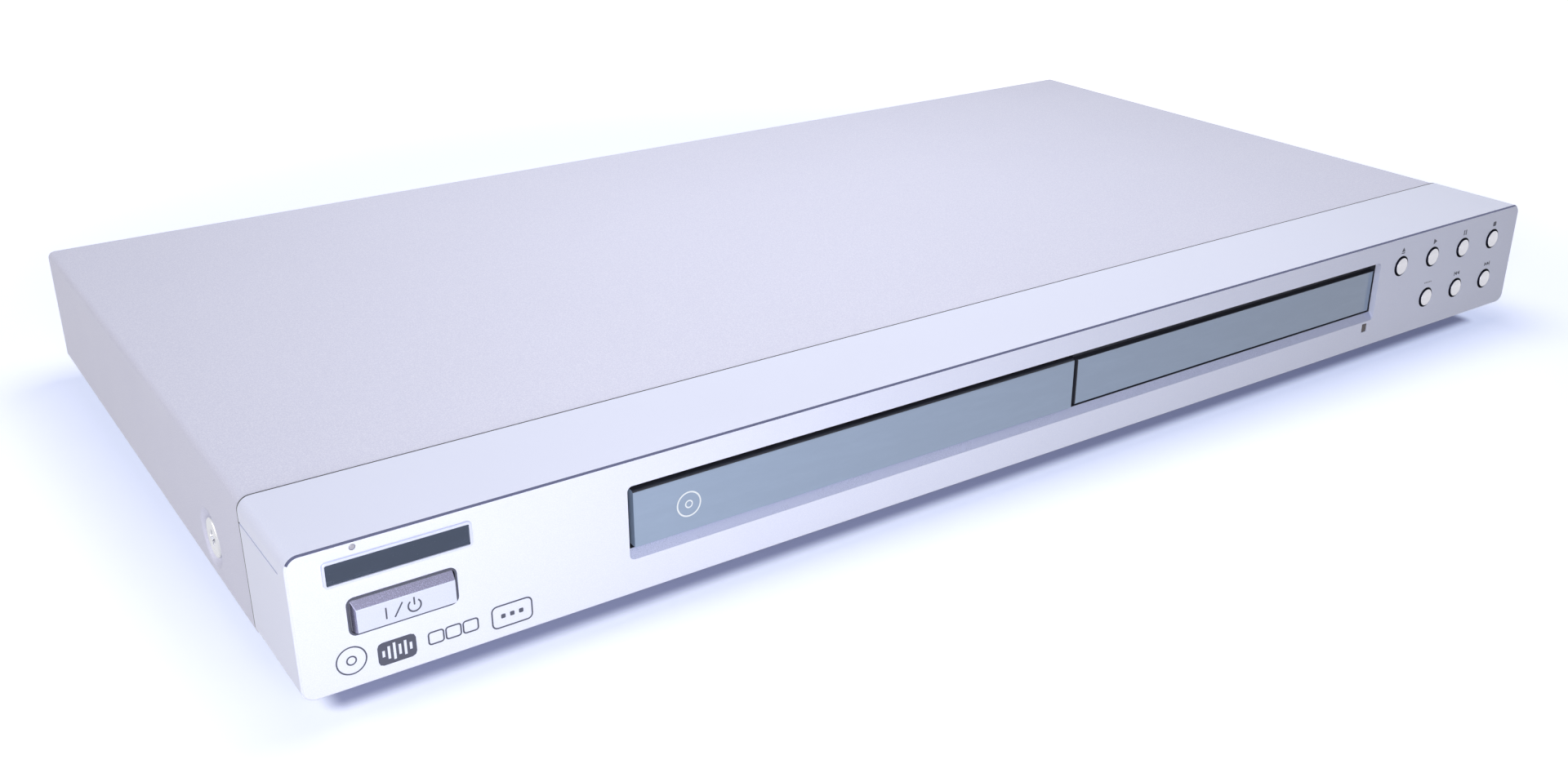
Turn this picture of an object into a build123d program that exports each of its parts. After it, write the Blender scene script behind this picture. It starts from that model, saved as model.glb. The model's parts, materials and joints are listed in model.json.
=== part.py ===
from build123d import *
import math
import os

# A slim home disc player with a motorised tray, closed, standing on its four feet.
# Every piece is drawn with x across, y back from the face of the front panel and z up
# from the floor. save() then moves it, so that the origin is in the middle of the base.
# All sizes are in millimetres.

# --- Case ---
case_width = 430.0
case_height = 43.0
case_depth = 232.0
foot_height = 8.0
sheet = 0.8                  # steel of the cover, the base pan and the rear panel
fit_gap = 0.3                # between pieces that meet or pass each other
panel_proud = 0.5            # front panel stands out past the cover by this much

# --- Front panel ---
panel_drop = 0.5             # its lower edge, below the pan
panel_depth = 32.0
panel_wall = 2.0
panel_top_radius = 3.2
panel_bottom_radius = 3.0
panel_bevel = 0.65
panel_floor_reach = 14.0     # how far back its bottom wall runs
tongue_reach = 5.0           # tongue that goes under the cover
tongue_wall = 1.2
groove_drop = 5.9            # groove in each side, below the top
groove_width = 0.5
groove_depth = 0.35
groove_start = 5.4

# --- Recess of the tray door and the window (heights above the panel's lower edge) ---
recess_side_gap = 2.0        # door to the recess's left end
recess_right_margin = 74.0   # recess to the right side of the case
recess_low = 9.2
recess_high = 28.7
recess_radius = 1.4
ledge_rise = 2.2
collar_wall = 1.5
collar_depth = 2.0
door_left_reach = 68.5       # from the tray's middle
door_right_reach = 72.2
door_height = 14.9
door_inset = 1.0
door_thickness = 2.6
door_bevel = 1.0
door_window_gap = 2.2
window_height = 13.9
window_end_gap = 0.7
window_inset = 1.9
window_flange_side = 2.6
window_flange_top = 2.9
window_flange_thickness = 1.5

# --- Buttons (heights above the panel's lower edge) ---
button_radius = 2.8
button_hole_radius = 3.1
button_proud = 1.2
button_dome = 0.75
button_flange_radius = 3.9
button_flange = 0.8
button_stem_radius = 1.5
button_travel = 0.6
upper_row_margin = 13.3      # last button to the right side of the case
upper_row_pitch = 16.6
upper_row_height = 25.4
lower_row_margin = 13.9
lower_row_pitch = 16.3
lower_row_height = 11.1
power_margin = 24.1          # its middle, to the left side of the case
power_height = 17.4          # of its middle
power_width = 23.3
power_tall = 7.6
power_corner = 0.9
power_slope = 2.0            # sloped top of its cap, seen from the front
power_slope_depth = 1.3
power_side_slope = 0.8       # at its left end
power_clearance = 0.4
power_proud = 1.0
power_travel = 1.0
power_flange_rim = 1.4

# --- Small things on the face ---
light_margin = 14.5
light_drop = 1.6             # below the panel's top
light_radius = 0.7
light_end = 3.0              # its inner end, turned down
light_end_width = 1.1
plate_margin = 24.1
plate_drop = 6.4             # of its middle
plate_width = 33.4
plate_tall = 6.2
plate_thickness = 0.7
plate_pin_radius = 0.8
plate_pin_spacing = 24.0
eye_margin = 77.8
eye_height = 7.0
eye_width = 2.5
eye_tall = 2.9

# --- Cover and its screws ---
cover_bend = 2.0
cover_lip = 7.0              # turned down over the rear panel
cover_lip_inset = 3.0
dish_y = 65.0
dish_height = 17.5
dish_rim_radius = 8.0
dish_floor_radius = 5.9
dish_depth = 1.6
side_screw_head_radius = 5.2
side_screw_head = 1.3
side_screw_radius = 1.95
side_screw_length = 8.0
cross_width = 1.1
cross_length = 4.6
cross_depth = 0.9
rear_screw_margin = 25.0     # to the side of the case
rear_screw_head_radius = 3.0
rear_screw_head = 2.0
rear_screw_radius = 1.5
rear_screw_length = 7.0
screw_clearance = 0.05       # radial, shank in its hole

# --- Base pan and feet ---
pan_flange = 15.0
pan_front_flange = 5.0
pan_ear_width = 16.0
pan_ear_height = 17.0
bead_margin = 90.0
bead_width = 8.0
bead_height = 1.2
bead_length = 120.0
vent_count = 9
vent_pitch = 8.0
vent_width = 3.0
vent_length = 34.0
foot_margin = 43.0           # foot's middle to the side of the case
foot_front_y = 38.0
foot_rear_y = 200.0
foot_radius = 13.0
foot_waist = 11.0
foot_recess_radius = 4.6
foot_floor = 2.2
foot_screw_head_radius = 3.4
foot_screw_head = 1.8
foot_screw_radius = 1.5
foot_screw_tail = 3.0

# --- Loader: disc, tray and door travel ---
loader_x = -65.0
disc_y = 70.0
disc_radius = 60.0
small_disc_radius = 40.0
disc_clearance = 0.4
tray_travel = 135.0
tray_width = 129.0
tray_back = 166.0
tray_underside = 22.4
tray_top = 28.2
small_well_floor = 24.0
disc_well_floor = 25.4
tray_slot_radius = 21.0
tray_front_wall = 2.0
tray_front_height = 8.0      # front wall above the tray's underside
tray_flange_width = 2.6
tray_flange = 1.8
corner_wall = 1.6
rack_x = -119.4              # pitch line
rack_back = 2.6
rack_bottom = 19.2
rack_tail = 8.0              # past the last mesh point
loader_wall = 2.0
loader_floor = 1.6
loader_bottom = 10.2
loader_front = 9.5
loader_back = 172.0
loader_half_width = 70.0
loader_rail = 5.4
loader_rail_thickness = 1.6
loader_rail_gap = 0.25
loader_lug_length = 9.0
loader_lug_thickness = 1.4

# --- Loader: drive ---
gear_module = 1.0
drive_teeth = 24
reduction_module = 0.6
wheel_teeth = 48
pinion_teeth = 14
pressure_angle = 20.0
addendum = 0.8
dedendum = 1.1
tooth_slack = 0.16
drive_gear_y = 24.5
drive_gear_low = 19.5
drive_gear_high = 22.0
wheel_low = 13.2
wheel_high = 15.8
drive_hub_radius = 5.0
axle_radius = 1.5
axle_clearance = 0.05
pulley_low = 16.7
pulley_high = 19.3
pulley_radius = 11.2
pulley_groove = 0.9
motor_pulley_radius = 3.4
motor_x = -46.0
loading_motor_radius = 11.0
loading_motor_low = 9.4
loading_motor_high = 16.0
motor_shaft_radius = 0.8
belt_width = 1.2
belt_clearance = 0.15

# --- Loader: cam that raises the traverse ---
lift_angle = 3.0
pivot_y = 158.0
pivot_z = 16.5
follower_y = 44.0
follower_z = 18.0
follower_spread = 20.0
follower_radius = 1.5
cam_travel = 20.0
cam_thickness = 3.0
cam_clearance = 0.3
cam_low = 9.8
cam_high = 21.0
cam_left = -101.0
cam_right = -31.0
cam_slot_spare = 1.5

# --- Loader: traverse and pickup ---
traverse_half_width = 33.0
traverse_front = 47.5
traverse_back = 162.0
traverse_low = 16.0
traverse_thickness = 1.6
sled_bay_half_width = 27.0
sled_bay_front = 81.5
sled_rear_room = 11.0        # behind the sled at the end of its travel
pivot_radius = 2.0
pivot_reach = 6.0
damper_radius = 4.0
damper_width = 5.0
rod_offset = 22.0
rod_radius = 1.5
rod_z = 18.3
rod_clearance = 0.05
sled_travel = 34.0
lens_inner_radius = 24.0     # from the spindle, pickup right in
sled_half_length = 11.0
sled_low = 15.6
sled_high = 25.0
sled_half_width = 18.0
lens_radius = 2.4
lens_top = 26.4
lens_travel = 0.4
turntable_radius = 14.5
turntable_seat = 28.3
turntable_cone_radius = 7.3
turntable_cone = 1.6
rotor_radius = 12.0
rotor_low = 19.4
rotor_high = 24.6
spindle_plate_radius = 17.0
spindle_shaft_radius = 1.0
screw_offset = 31.0
lead_screw_radius = 1.4
lead_pitch = 3.0
sled_motor_radius = 3.5
sled_motor_length = 15.0
sled_motor_y = 70.0

# --- Loader: clamper ---
disc_thickness = 1.2
clamper_radius = 15.5
clamper_neck_radius = 12.3
clamper_flange_radius = 14.6
clamper_lower = 1.6
clamper_flange = 1.4
clamper_recess_radius = 8.4
clamper_recess = 2.0
bridge_low = 33.2
bridge_thickness = 1.2
bridge_hole_radius = 12.8
bridge_depth = 46.0
bridge_foot = 8.0

# --- Boards and what stands on them ---
board = 1.6
board_height = 14.0          # underside of the main and power boards
standoff_radius = 2.6
board_margin = 4.0
main_board_gap = 9.0         # to the loader
main_board_margin = 11.0     # to the side of the case
main_board_front = 112.0
rear_clear = 1.0             # boards to the rear panel
power_board_gap = 6.0        # to the loader
power_board_margin = 9.0     # to the side of the case
power_board_front = 72.0
transformer_size = 28.0
transformer_height = 17.0
transformer_back = 62.0      # its middle, behind the board's front edge
transformer_lift = 2.0
capacitor_radius = 7.5
capacitor_height = 21.0
capacitor_back = 92.0
capacitor_inset = 16.0
small_capacitor_radius = 4.0
small_capacitor_height = 12.0
small_capacitor_back = 22.0
small_capacitor_inset = 10.0
small_capacitor_pitch = 12.0
heat_sink_length = 32.0
heat_sink_height = 21.0
heat_sink_fin = 1.2
heat_sink_fins = 6
heat_sink_base = 2.0
heat_sink_inset = 12.0
heat_sink_reach = 6.8        # fins, past the base
chip_size = 26.0             # the decoder
chip_height = 2.2
chip_margin = 44.0           # its middle, to the board's right edge
chip_back = 29.0             # its middle, behind the board's front edge
memory_width = 10.0
memory_length = 20.0
memory_height = 1.6
memory_gap = 7.0             # to the decoder
driver_size = 12.0
driver_gap = 19.0
connector_width = 22.0
connector_length = 5.0
connector_height = 5.0
connector_back = 4.0
front_board_y = 12.0
front_board_gap = 4.0        # to the tray door
front_board_margin = 7.0
front_board_lift = 3.7       # above the pan
front_board_drop = 3.5       # below the panel's top
board_corner = 1.5
display_gap = 12.3           # to the window's left end
display_width = 98.0
display_low = 19.5
display_high = 33.5
display_front = 6.3
switch_size = 6.0
switch_height = 2.1
switch_clearance = 0.3
switch_board_margin = 6.0
switch_board_width = 37.0
switch_board_drop = 2.5
power_switch_width = 12.0
power_switch_tall = 10.0
power_switch_height = 5.0
power_stem = 4.0
ribbon_width = 16.0
ribbon_thickness = 0.3
ribbon_height = 20.0         # where it leaves the front board
ribbon_first_run = 12.0
ribbon_lift = 0.6            # above the pan
ribbon_bend = 2.5
ribbon_inset = 26.0          # its middle, from the main board's left edge
ribbon_end = 8.0             # behind the main board's front edge

# --- Sockets in the rear panel ---
jack_radius = 4.15           # outside of a phono socket's barrel
jack_wall = 0.45
jack_reach = 8.0
jack_ring_radius = 5.2
jack_ring_reach = 1.0
jack_bore_radius = 1.6
jack_bore_depth = 6.0
jack_lower_z = 16.6
jack_row_pitch = 13.2
jack_column_pitch = 15.0
jack_columns = 3
jack_offset = 48.0           # first column, from the main board's left edge
digital_jack_gap = 24.0      # past the last column
jack_block_depth = 12.0
jack_margin = 7.0
s_video_offset = 20.0
s_video_radius = 5.0
s_video_reach = 1.2
s_video_bore_radius = 3.9
s_video_bore_depth = 7.0
mains_z = 22.0
mains_screw_gap = 5.0
mains_flange = 1.4
mains_width = 24.0
mains_tall = 14.0
mains_lip = 1.5
mains_body_depth = 18.0
mains_socket_radius = 4.2
mains_pin_spacing = 8.6
mains_pin_radius = 1.2
mains_socket_depth = 13.0
mains_pin_short = 2.0        # pins end this far inside the mouth
mains_pin_root = 3.0         # pins held this deep in the body

# --- Worked out from the sizes above ---
panel_bottom = foot_height - panel_drop
panel_height = case_height - panel_bottom
half_width = case_width / 2
cover_half_width = half_width - panel_proud
cover_top = case_height - panel_proud
cover_inside_x = cover_half_width - sheet
cover_inside_top = cover_top - sheet
cover_front = panel_depth + fit_gap
pan_top = foot_height + sheet
pan_half_width = cover_inside_x - 0.4
rear_panel_y = case_depth - sheet          # its outer face, under the cover's lip
depth_middle = (case_depth + jack_reach - button_proud) / 2
recess_floor = panel_bottom + recess_low + ledge_rise
recess_ceiling = panel_bottom + recess_high
collar_back = panel_wall + collar_depth
door_left = loader_x - door_left_reach
door_right = loader_x + door_right_reach
recess_left = door_left - recess_side_gap
recess_right = half_width - recess_right_margin
window_left = door_right + door_window_gap
door_low = recess_floor + fit_gap
door_back = door_inset + door_thickness
window_low = door_low
upper_row_z = panel_bottom + upper_row_height
lower_row_z = panel_bottom + lower_row_height
power_x = power_margin - half_width
power_z = panel_bottom + power_height
light_x = light_margin - half_width
light_z = case_height - light_drop
plate_x = plate_margin - half_width
plate_z = case_height - plate_drop
eye_x = half_width - eye_margin
eye_z = panel_bottom + eye_height
foot_spread = half_width - foot_margin
rear_screw_spread = half_width - rear_screw_margin
loader_left = loader_x - loader_half_width
loader_right = loader_x + loader_half_width
switch_front = front_board_y - switch_height
lip_screw_z = cover_top - cover_lip / 2
drive_pitch_radius = gear_module * drive_teeth / 2
drive_gear_x = rack_x + drive_pitch_radius
wheel_pitch_radius = reduction_module * wheel_teeth / 2
pinion_pitch_radius = reduction_module * pinion_teeth / 2
pulley_x = drive_gear_x + wheel_pitch_radius + pinion_pitch_radius
sled_y = disc_y + lens_inner_radius
sled_bay_back = sled_y + sled_travel + sled_half_length + sled_rear_room
clamper_bottom = turntable_seat + disc_thickness + fit_gap
jack_upper_z = jack_lower_z + jack_row_pitch
board_back = rear_panel_y - sheet - rear_clear
board_top = board_height + board
main_board_left = loader_right + main_board_gap
main_board_right = half_width - main_board_margin
power_board_left = power_board_margin - half_width
power_board_right = loader_left - power_board_gap
power_board_middle = (power_board_left + power_board_right) / 2
front_board_left = door_right + front_board_gap
front_board_right = half_width - front_board_margin
front_board_low = pan_top + front_board_lift
front_board_high = case_height - front_board_drop
switch_board_left = switch_board_margin - half_width
display_left = window_left + display_gap
ribbon_x = main_board_left + ribbon_inset
jack_left_x = main_board_left + jack_offset
jack_right_x = jack_left_x + (jack_columns - 1) * jack_column_pitch
digital_jack_x = jack_right_x + digital_jack_gap
s_video_x = main_board_left + s_video_offset
mains_x = power_board_middle
mains_face = rear_panel_y + mains_flange


# --- Helpers ---
def block(left, right, front, back, low, high):
    """A box between two corners."""
    middle = Pos((left + right) / 2, (front + back) / 2, (low + high) / 2)
    return middle * Box(right - left, back - front, high - low)


def outline(*points):
    """A flat face inside straight edges."""
    return make_face(Polyline(*points, close=True))


def upwards(sketch, low, high):
    """A plan, drawn in x and y, made solid from low up to high."""
    return Pos(0, 0, low) * extrude(sketch, high - low)


def backwards(sketch, front, back):
    """An elevation, drawn in x and z, made solid from front to back."""
    return Pos(0, front, 0) * extrude(Plane.XZ * sketch, front - back)


def sideways(sketch, left, right):
    """A section, drawn in y and z, made solid from left to right."""
    return Pos(left, 0, 0) * extrude(Plane.YZ * sketch, right - left)


def upright_turning(sketch, x, y):
    """A section of radius and height, turned about an upright axis."""
    return Pos(x, y, 0) * revolve(Plane.XZ * sketch, Axis.Z)


def backward_turning(sketch, x, z):
    """A section of radius and depth, turned about an axis that runs front to back."""
    return Pos(x, 0, z) * Rot(X=-90) * revolve(Plane.XZ * sketch, Axis.Z)


def sideways_turning(sketch, y, z, side):
    """A section of radius and reach, turned about an axis that points out of one side."""
    return Pos(0, y, z) * Rot(Y=90 * side) * revolve(Plane.XZ * sketch, Axis.Z)


def upright_hole(x, y, radius, low, high):
    """A round bar that stands upright."""
    return upwards(Pos(x, y) * Circle(radius), low, high)


def backward_rod(x, z, radius, front, back):
    """A round bar that runs front to back."""
    return backwards(Pos(x, z) * Circle(radius), front, back)


def sideways_rod(y, z, radius, left, right):
    """A round bar that runs left to right."""
    return sideways(Pos(y, z) * Circle(radius), left, right)


def save(name, *solids):
    """Write one sub-part, moved so that the origin is in the middle of the base."""
    loose = [solid for shape in solids for solid in shape.solids()]
    placed = [Pos(0, -depth_middle, 0) * solid for solid in loose]
    shape = placed[0] if len(placed) == 1 else Compound(children=placed)
    export_step(shape, f"parts/{name}.step")


# --- Front panel and what shows on it ---
def panel_section(inset):
    """The panel seen from the front, drawn in by an even inset."""
    section = Rectangle(case_width - 2 * inset, panel_height - 2 * inset)
    top_radius = max(panel_top_radius - inset, 0.5)
    bottom_radius = max(panel_bottom_radius - inset, 0.5)
    section = fillet(section.vertices().group_by(Axis.Y)[-1], top_radius)
    section = fillet(section.vertices().group_by(Axis.Y)[0], bottom_radius)
    return Pos(0, panel_bottom + panel_height / 2) * section


def recess_section(low, rim=0.0):
    """The recess seen from the front, from low up to its ceiling, with an even rim."""
    wide = recess_right - recess_left + 2 * rim
    tall = recess_ceiling - low + 2 * rim
    middle = Pos((recess_left + recess_right) / 2, (low + recess_ceiling) / 2)
    return middle * RectangleRounded(wide, tall, recess_radius + rim)


def button_places():
    """The middle of each round button, upper row first."""
    upper_end = half_width - upper_row_margin
    lower_end = half_width - lower_row_margin
    upper = [(upper_end - n * upper_row_pitch, upper_row_z) for n in (3, 2, 1, 0)]
    lower = [(lower_end - n * lower_row_pitch, lower_row_z) for n in (2, 1, 0)]
    return upper + lower


def front_panel():
    """The moulded face: recess and collar, holes, side grooves and a tongue for the cover."""
    shell = backwards(panel_section(0), 0, panel_depth)
    shell = chamfer(shell.edges().group_by(Axis.Y)[0], panel_bevel)
    shell -= backwards(panel_section(panel_wall), panel_wall, panel_depth + 1)
    tongue_inset = panel_proud + sheet + fit_gap
    tongue = backwards(
        panel_section(tongue_inset) - panel_section(tongue_inset + tongue_wall),
        panel_depth - tongue_reach / 2,
        panel_depth + tongue_reach,
    )
    shell += tongue
    floor_inside = half_width - tongue_inset - tongue_wall
    floor_top = panel_bottom + tongue_inset + tongue_wall
    tail = panel_depth + tongue_reach + 1
    shell -= block(-floor_inside, floor_inside, panel_floor_reach, tail, 0, floor_top)
    shell -= block(-half_width, half_width, panel_depth, tail, 0, floor_top)

    collar = recess_section(recess_floor, collar_wall)
    shell += backwards(collar, panel_wall - 0.2, collar_back)
    shell -= backwards(recess_section(panel_bottom + recess_low), -1, panel_wall)
    shell -= backwards(recess_section(recess_floor), panel_wall, collar_back + 1)
    ledge_foot = panel_bottom + recess_low
    ledge = outline(
        (0, ledge_foot), (panel_wall, recess_floor), (panel_wall, ledge_foot - 1), (0, ledge_foot - 1),
    )
    shell += sideways(ledge, recess_left, recess_right)

    for x, z in button_places():
        shell -= backward_rod(x, z, button_hole_radius, -1, panel_wall + 1)
    power_hole = RectangleRounded(
        power_width + 2 * power_clearance,
        power_tall + 2 * power_clearance,
        power_corner + power_clearance,
    )
    shell -= backwards(Pos(power_x, power_z) * power_hole, -1, panel_wall + 1)
    shell -= backward_rod(
        light_x, light_z, light_radius + screw_clearance, -1, front_board_y + 2 * fit_gap,
    )
    shell -= backwards(Pos(eye_x, eye_z) * Rectangle(eye_width, eye_tall), -1, panel_wall + 1)
    for side in (-1, 1):
        pin_x = plate_x + side * plate_pin_spacing / 2
        shell -= backward_rod(pin_x, plate_z, plate_pin_radius, -1, panel_wall + 1)
        groove_z = case_height - groove_drop
        edge = side * half_width
        shell -= block(
            edge - groove_depth, edge + groove_depth, groove_start, tail,
            groove_z - groove_width / 2, groove_z + groove_width / 2,
        )
    return shell


def tray_door():
    """A glossy bar with a bevelled top edge and two hooks that grip the tray's front."""
    top = door_low + door_height
    section = outline(
        (door_inset, door_low),
        (door_inset, top - door_bevel),
        (door_inset + door_bevel * 0.8, top),
        (door_back, top),
        (door_back, door_low),
    )
    door = sideways(section, door_left, door_right)
    return fillet(door.edges().filter_by(Axis.Z).group_by(Axis.Y)[0], 0.4)


def display_window():
    """A smoked window whose flange seats on the back of the recess's collar."""
    right = recess_right - window_end_gap
    plate = block(window_left, right, window_inset, collar_back, window_low, window_low + window_height)
    plate = fillet(plate.edges().filter_by(Axis.Z).group_by(Axis.Y)[0], 0.4)
    flange = block(
        window_left,
        recess_right + window_flange_side,
        collar_back,
        collar_back + window_flange_thickness,
        recess_floor - collar_wall,
        window_low + window_height + window_flange_top,
    )
    return plate + flange


def nameplate():
    """A bare plaque with a raised rim, held by two pins."""
    body = RectangleRounded(plate_width, plate_tall, 1.0)
    field = RectangleRounded(plate_width - 1.2, plate_tall - 1.2, 0.6)
    place = Pos(plate_x, plate_z)
    plate = backwards(place * body, -plate_thickness, 0)
    plate -= backwards(place * field, -plate_thickness - 1, -plate_thickness + 0.3)
    for side in (-1, 1):
        pin_x = plate_x + side * plate_pin_spacing / 2
        plate += backward_rod(pin_x, plate_z, plate_pin_radius, -0.1, panel_wall + 0.5)
    return plate


def standby_light():
    """A clear light guide from the face back to the switch board, its end turned down."""
    guide = backward_rod(light_x, light_z, light_radius, 0, front_board_y)
    left = light_x - light_end_width / 2
    right = light_x + light_end_width / 2
    end_front = front_board_y - 2 * light_radius
    return guide + block(left, right, end_front, front_board_y, light_z - light_end, light_z)


def remote_eye():
    """A dark plug in the panel with a flange behind it."""
    plug = backwards(Pos(eye_x, eye_z) * Rectangle(eye_width, eye_tall), 0.1, panel_wall)
    flange = Rectangle(eye_width + 2.0, eye_tall + 1.2)
    return plug + backwards(Pos(eye_x, eye_z) * flange, panel_wall, panel_wall + 1.0)


def round_button(x, z):
    """A domed cap, its flange behind the panel and a stem into its switch."""
    flange_front = panel_wall + fit_gap
    flange_back = flange_front + button_flange
    rim = button_dome - button_proud
    stem_end = switch_front + fit_gap
    dome = ThreePointArc(
        (0, -button_proud), (button_radius * 0.62, -button_proud + 0.26), (button_radius, rim),
    )
    side = Polyline(
        (button_radius, rim),
        (button_radius, flange_front),
        (button_flange_radius, flange_front),
        (button_flange_radius, flange_back),
        (button_stem_radius, flange_back),
        (button_stem_radius, stem_end),
        (0, stem_end),
        (0, -button_proud),
    )
    return backward_turning(make_face([dome.edge(), *side.edges()]), x, z)


def power_button():
    """A bar sloped at its top and left end, its flange behind the panel and a stem behind."""
    place = Pos(power_x, power_z)
    flange_front = panel_wall + fit_gap
    left = power_x - power_width / 2
    top = power_z + power_tall / 2
    slope_back = power_slope_depth - power_proud
    cap = backwards(
        place * RectangleRounded(power_width, power_tall, power_corner), -power_proud, flange_front,
    )
    cap -= sideways(
        outline((-power_proud, top - power_slope), (-power_proud, top), (slope_back, top)),
        left, left + power_width,
    )
    cap -= upwards(
        outline((left, -power_proud), (left + power_side_slope, -power_proud), (left, slope_back)),
        top - power_tall, top,
    )
    flange = Rectangle(power_width + 2 * power_flange_rim, power_tall + 2 * power_flange_rim)
    cap += backwards(place * flange, flange_front, flange_front + button_flange)
    stem = Rectangle(power_stem, power_stem)
    stem_end = front_board_y - power_switch_height + fit_gap
    return cap + backwards(place * stem, flange_front, stem_end)


# --- Boards behind the panel ---
def front_board():
    """The tall narrow card behind the window and the round buttons."""
    place = Pos((front_board_left + front_board_right) / 2, (front_board_low + front_board_high) / 2)
    wide = front_board_right - front_board_left
    card = RectangleRounded(wide, front_board_high - front_board_low, board_corner)
    return backwards(place * card, front_board_y, front_board_y + board)


def display_module():
    """The glass display and its frame, on the front board."""
    display_right = display_left + display_width
    glass = block(display_left, display_right, display_front, front_board_y, display_low, display_high)
    glass = chamfer(glass.edges().group_by(Axis.Y)[0], 0.6)
    nib = Pos(display_right - 1, (display_low + display_high) / 2) * Circle(1.6)
    return glass + backwards(nib, display_front + 1.5, front_board_y)


def tact_switches():
    """One square switch behind each round button, with a well for the stem."""
    switches = []
    for x, z in button_places():
        body = backwards(
            Pos(x, z) * RectangleRounded(switch_size, switch_size, 0.8), switch_front, front_board_y,
        )
        well = button_stem_radius + switch_clearance
        well_end = switch_front + button_travel + 3 * fit_gap
        switches.append(body - backward_rod(x, z, well, switch_front - 1, well_end))
    return switches


def remote_receiver():
    """The receiver's body with its round lens, right behind the eye."""
    front = panel_wall + 1.0 + fit_gap
    body = block(eye_x - 3, eye_x + 3, front + 2, front_board_y, eye_z - 1.8, eye_z + 2.6)
    return body + backward_rod(eye_x, eye_z + 0.2, 1.7, front, front + 2)


def switch_board():
    """The small card behind the power button."""
    high = case_height - switch_board_drop
    place = Pos(switch_board_left + switch_board_width / 2, (front_board_low + high) / 2)
    card = RectangleRounded(switch_board_width, high - front_board_low, board_corner)
    return backwards(place * card, front_board_y, front_board_y + board)


def power_switch():
    """The mains standby switch, with a well for the button's stem."""
    front = front_board_y - power_switch_height
    place = Pos(power_x, power_z)
    body = backwards(
        place * RectangleRounded(power_switch_width, power_switch_tall, 1.0), front, front_board_y,
    )
    well = power_stem + 2 * switch_clearance
    depth = power_travel + 2 * fit_gap
    return body - backwards(place * Rectangle(well, well), front - 1, front + depth)


def front_ribbon():
    """A flat cable from the front board down, along the base and up to the main board."""
    start_y = front_board_y + board
    turn_y = start_y + ribbon_first_run
    low = pan_top + ribbon_lift
    end_y = main_board_front + ribbon_end
    route = FilletPolyline(
        (
            start_y, ribbon_height,
        ), (turn_y, ribbon_height), (turn_y, low), (end_y, low), (end_y, board_height),
        radius=ribbon_bend,
    )
    start = Plane(origin=(0, start_y, ribbon_height), x_dir=(1, 0, 0), z_dir=(0, 1, 0))
    tape = sweep(start * Rectangle(ribbon_width, ribbon_thickness), path=Plane.YZ * route)
    return Pos(ribbon_x, 0, 0) * tape


# --- Cover, base pan, rear panel and feet ---
def dish_section(face_x):
    """Half the section of a dished screw seat in the cover's side."""
    floor_x = face_x - dish_depth
    hole = side_screw_radius + fit_gap
    slope = sheet * 0.4
    return outline(
        (hole, floor_x),
        (dish_floor_radius, floor_x),
        (dish_rim_radius, face_x),
        (dish_rim_radius + slope, face_x),
        (dish_rim_radius + slope, face_x - sheet),
        (dish_floor_radius + slope, floor_x - sheet),
        (hole, floor_x - sheet),
    )


def top_cover():
    """One folded sheet: the top, both sides and a lip turned down at the back."""
    section = Rectangle(2 * cover_half_width, cover_top - foot_height)
    section = fillet(section.vertices().group_by(Axis.Y)[-1], cover_bend)
    hollow = Rectangle(2 * cover_inside_x, cover_top - foot_height)
    hollow = fillet(hollow.vertices().group_by(Axis.Y)[-1], cover_bend - sheet)
    place = Pos(0, (cover_top + foot_height) / 2)
    cover = backwards(place * section - Pos(0, -sheet) * place * hollow, cover_front, case_depth)
    lip_half = cover_inside_x - cover_lip_inset
    lip = block(
        -lip_half, lip_half, rear_panel_y, case_depth, cover_top - cover_lip, cover_inside_top + 0.2,
    )
    cover += lip
    for side in (-1, 1):
        disc = Pos(dish_y, dish_height) * Circle(dish_rim_radius)
        edge = side * cover_half_width
        cover -= sideways(disc, min(edge, edge - side * 5), max(edge, edge - side * 5))
        cover += sideways_turning(dish_section(cover_half_width), dish_y, dish_height, side)
    for n in (-1, 0, 1):
        cover -= backward_rod(
            n * rear_screw_spread,
            lip_screw_z,
            rear_screw_radius + fit_gap,
            rear_panel_y - 0.1,
            case_depth + 1,
        )
    return cover


def cross_slots(depth_low, depth_high):
    """A cross recess, as two crossed bars about the upright axis."""
    bar = Rectangle(cross_length, cross_width)
    return extrude(Pos(0, 0, depth_low) * (bar + Rot(Z=90) * bar), depth_high - depth_low)


def side_screws():
    """A broad flat-headed screw in each dished seat."""
    seat = cover_half_width - dish_depth
    top = seat + side_screw_head
    section = outline(
        (0, seat - side_screw_length),
        (side_screw_radius, seat - side_screw_length),
        (side_screw_radius, seat),
        (side_screw_head_radius, seat),
        (side_screw_head_radius, top - 0.5),
        (side_screw_head_radius - 0.6, top),
        (0, top),
    )
    screw = revolve(Plane.XZ * section, Axis.Z) - cross_slots(top - cross_depth, top + 1)
    return [Pos(0, dish_y, dish_height) * Rot(Y=90 * side) * screw for side in (-1, 1)]


def rear_screw():
    """A pan-headed screw that points forward from the back of the case."""
    tip = case_depth - rear_screw_length
    section = outline(
        (0, tip),
        (rear_screw_radius, tip),
        (rear_screw_radius, case_depth),
        (rear_screw_head_radius, case_depth),
        (rear_screw_head_radius, case_depth + rear_screw_head * 0.5),
        (rear_screw_head_radius * 0.6, case_depth + rear_screw_head),
        (0, case_depth + rear_screw_head),
    )
    slots = cross_slots(case_depth + rear_screw_head - cross_depth, case_depth + rear_screw_head + 1)
    return Rot(X=-90) * (revolve(Plane.XZ * section, Axis.Z) - slots)


def cover_rear_screws():
    """The three screws through the cover's lip into the rear panel."""
    return [Pos(n * rear_screw_spread, 0, lip_screw_z) * rear_screw() for n in (-1, 0, 1)]


def foot_places():
    """Where the middles of the feet are, x and y."""
    return [(x, y) for x in (-foot_spread, foot_spread) for y in (foot_front_y, foot_rear_y)]


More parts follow.
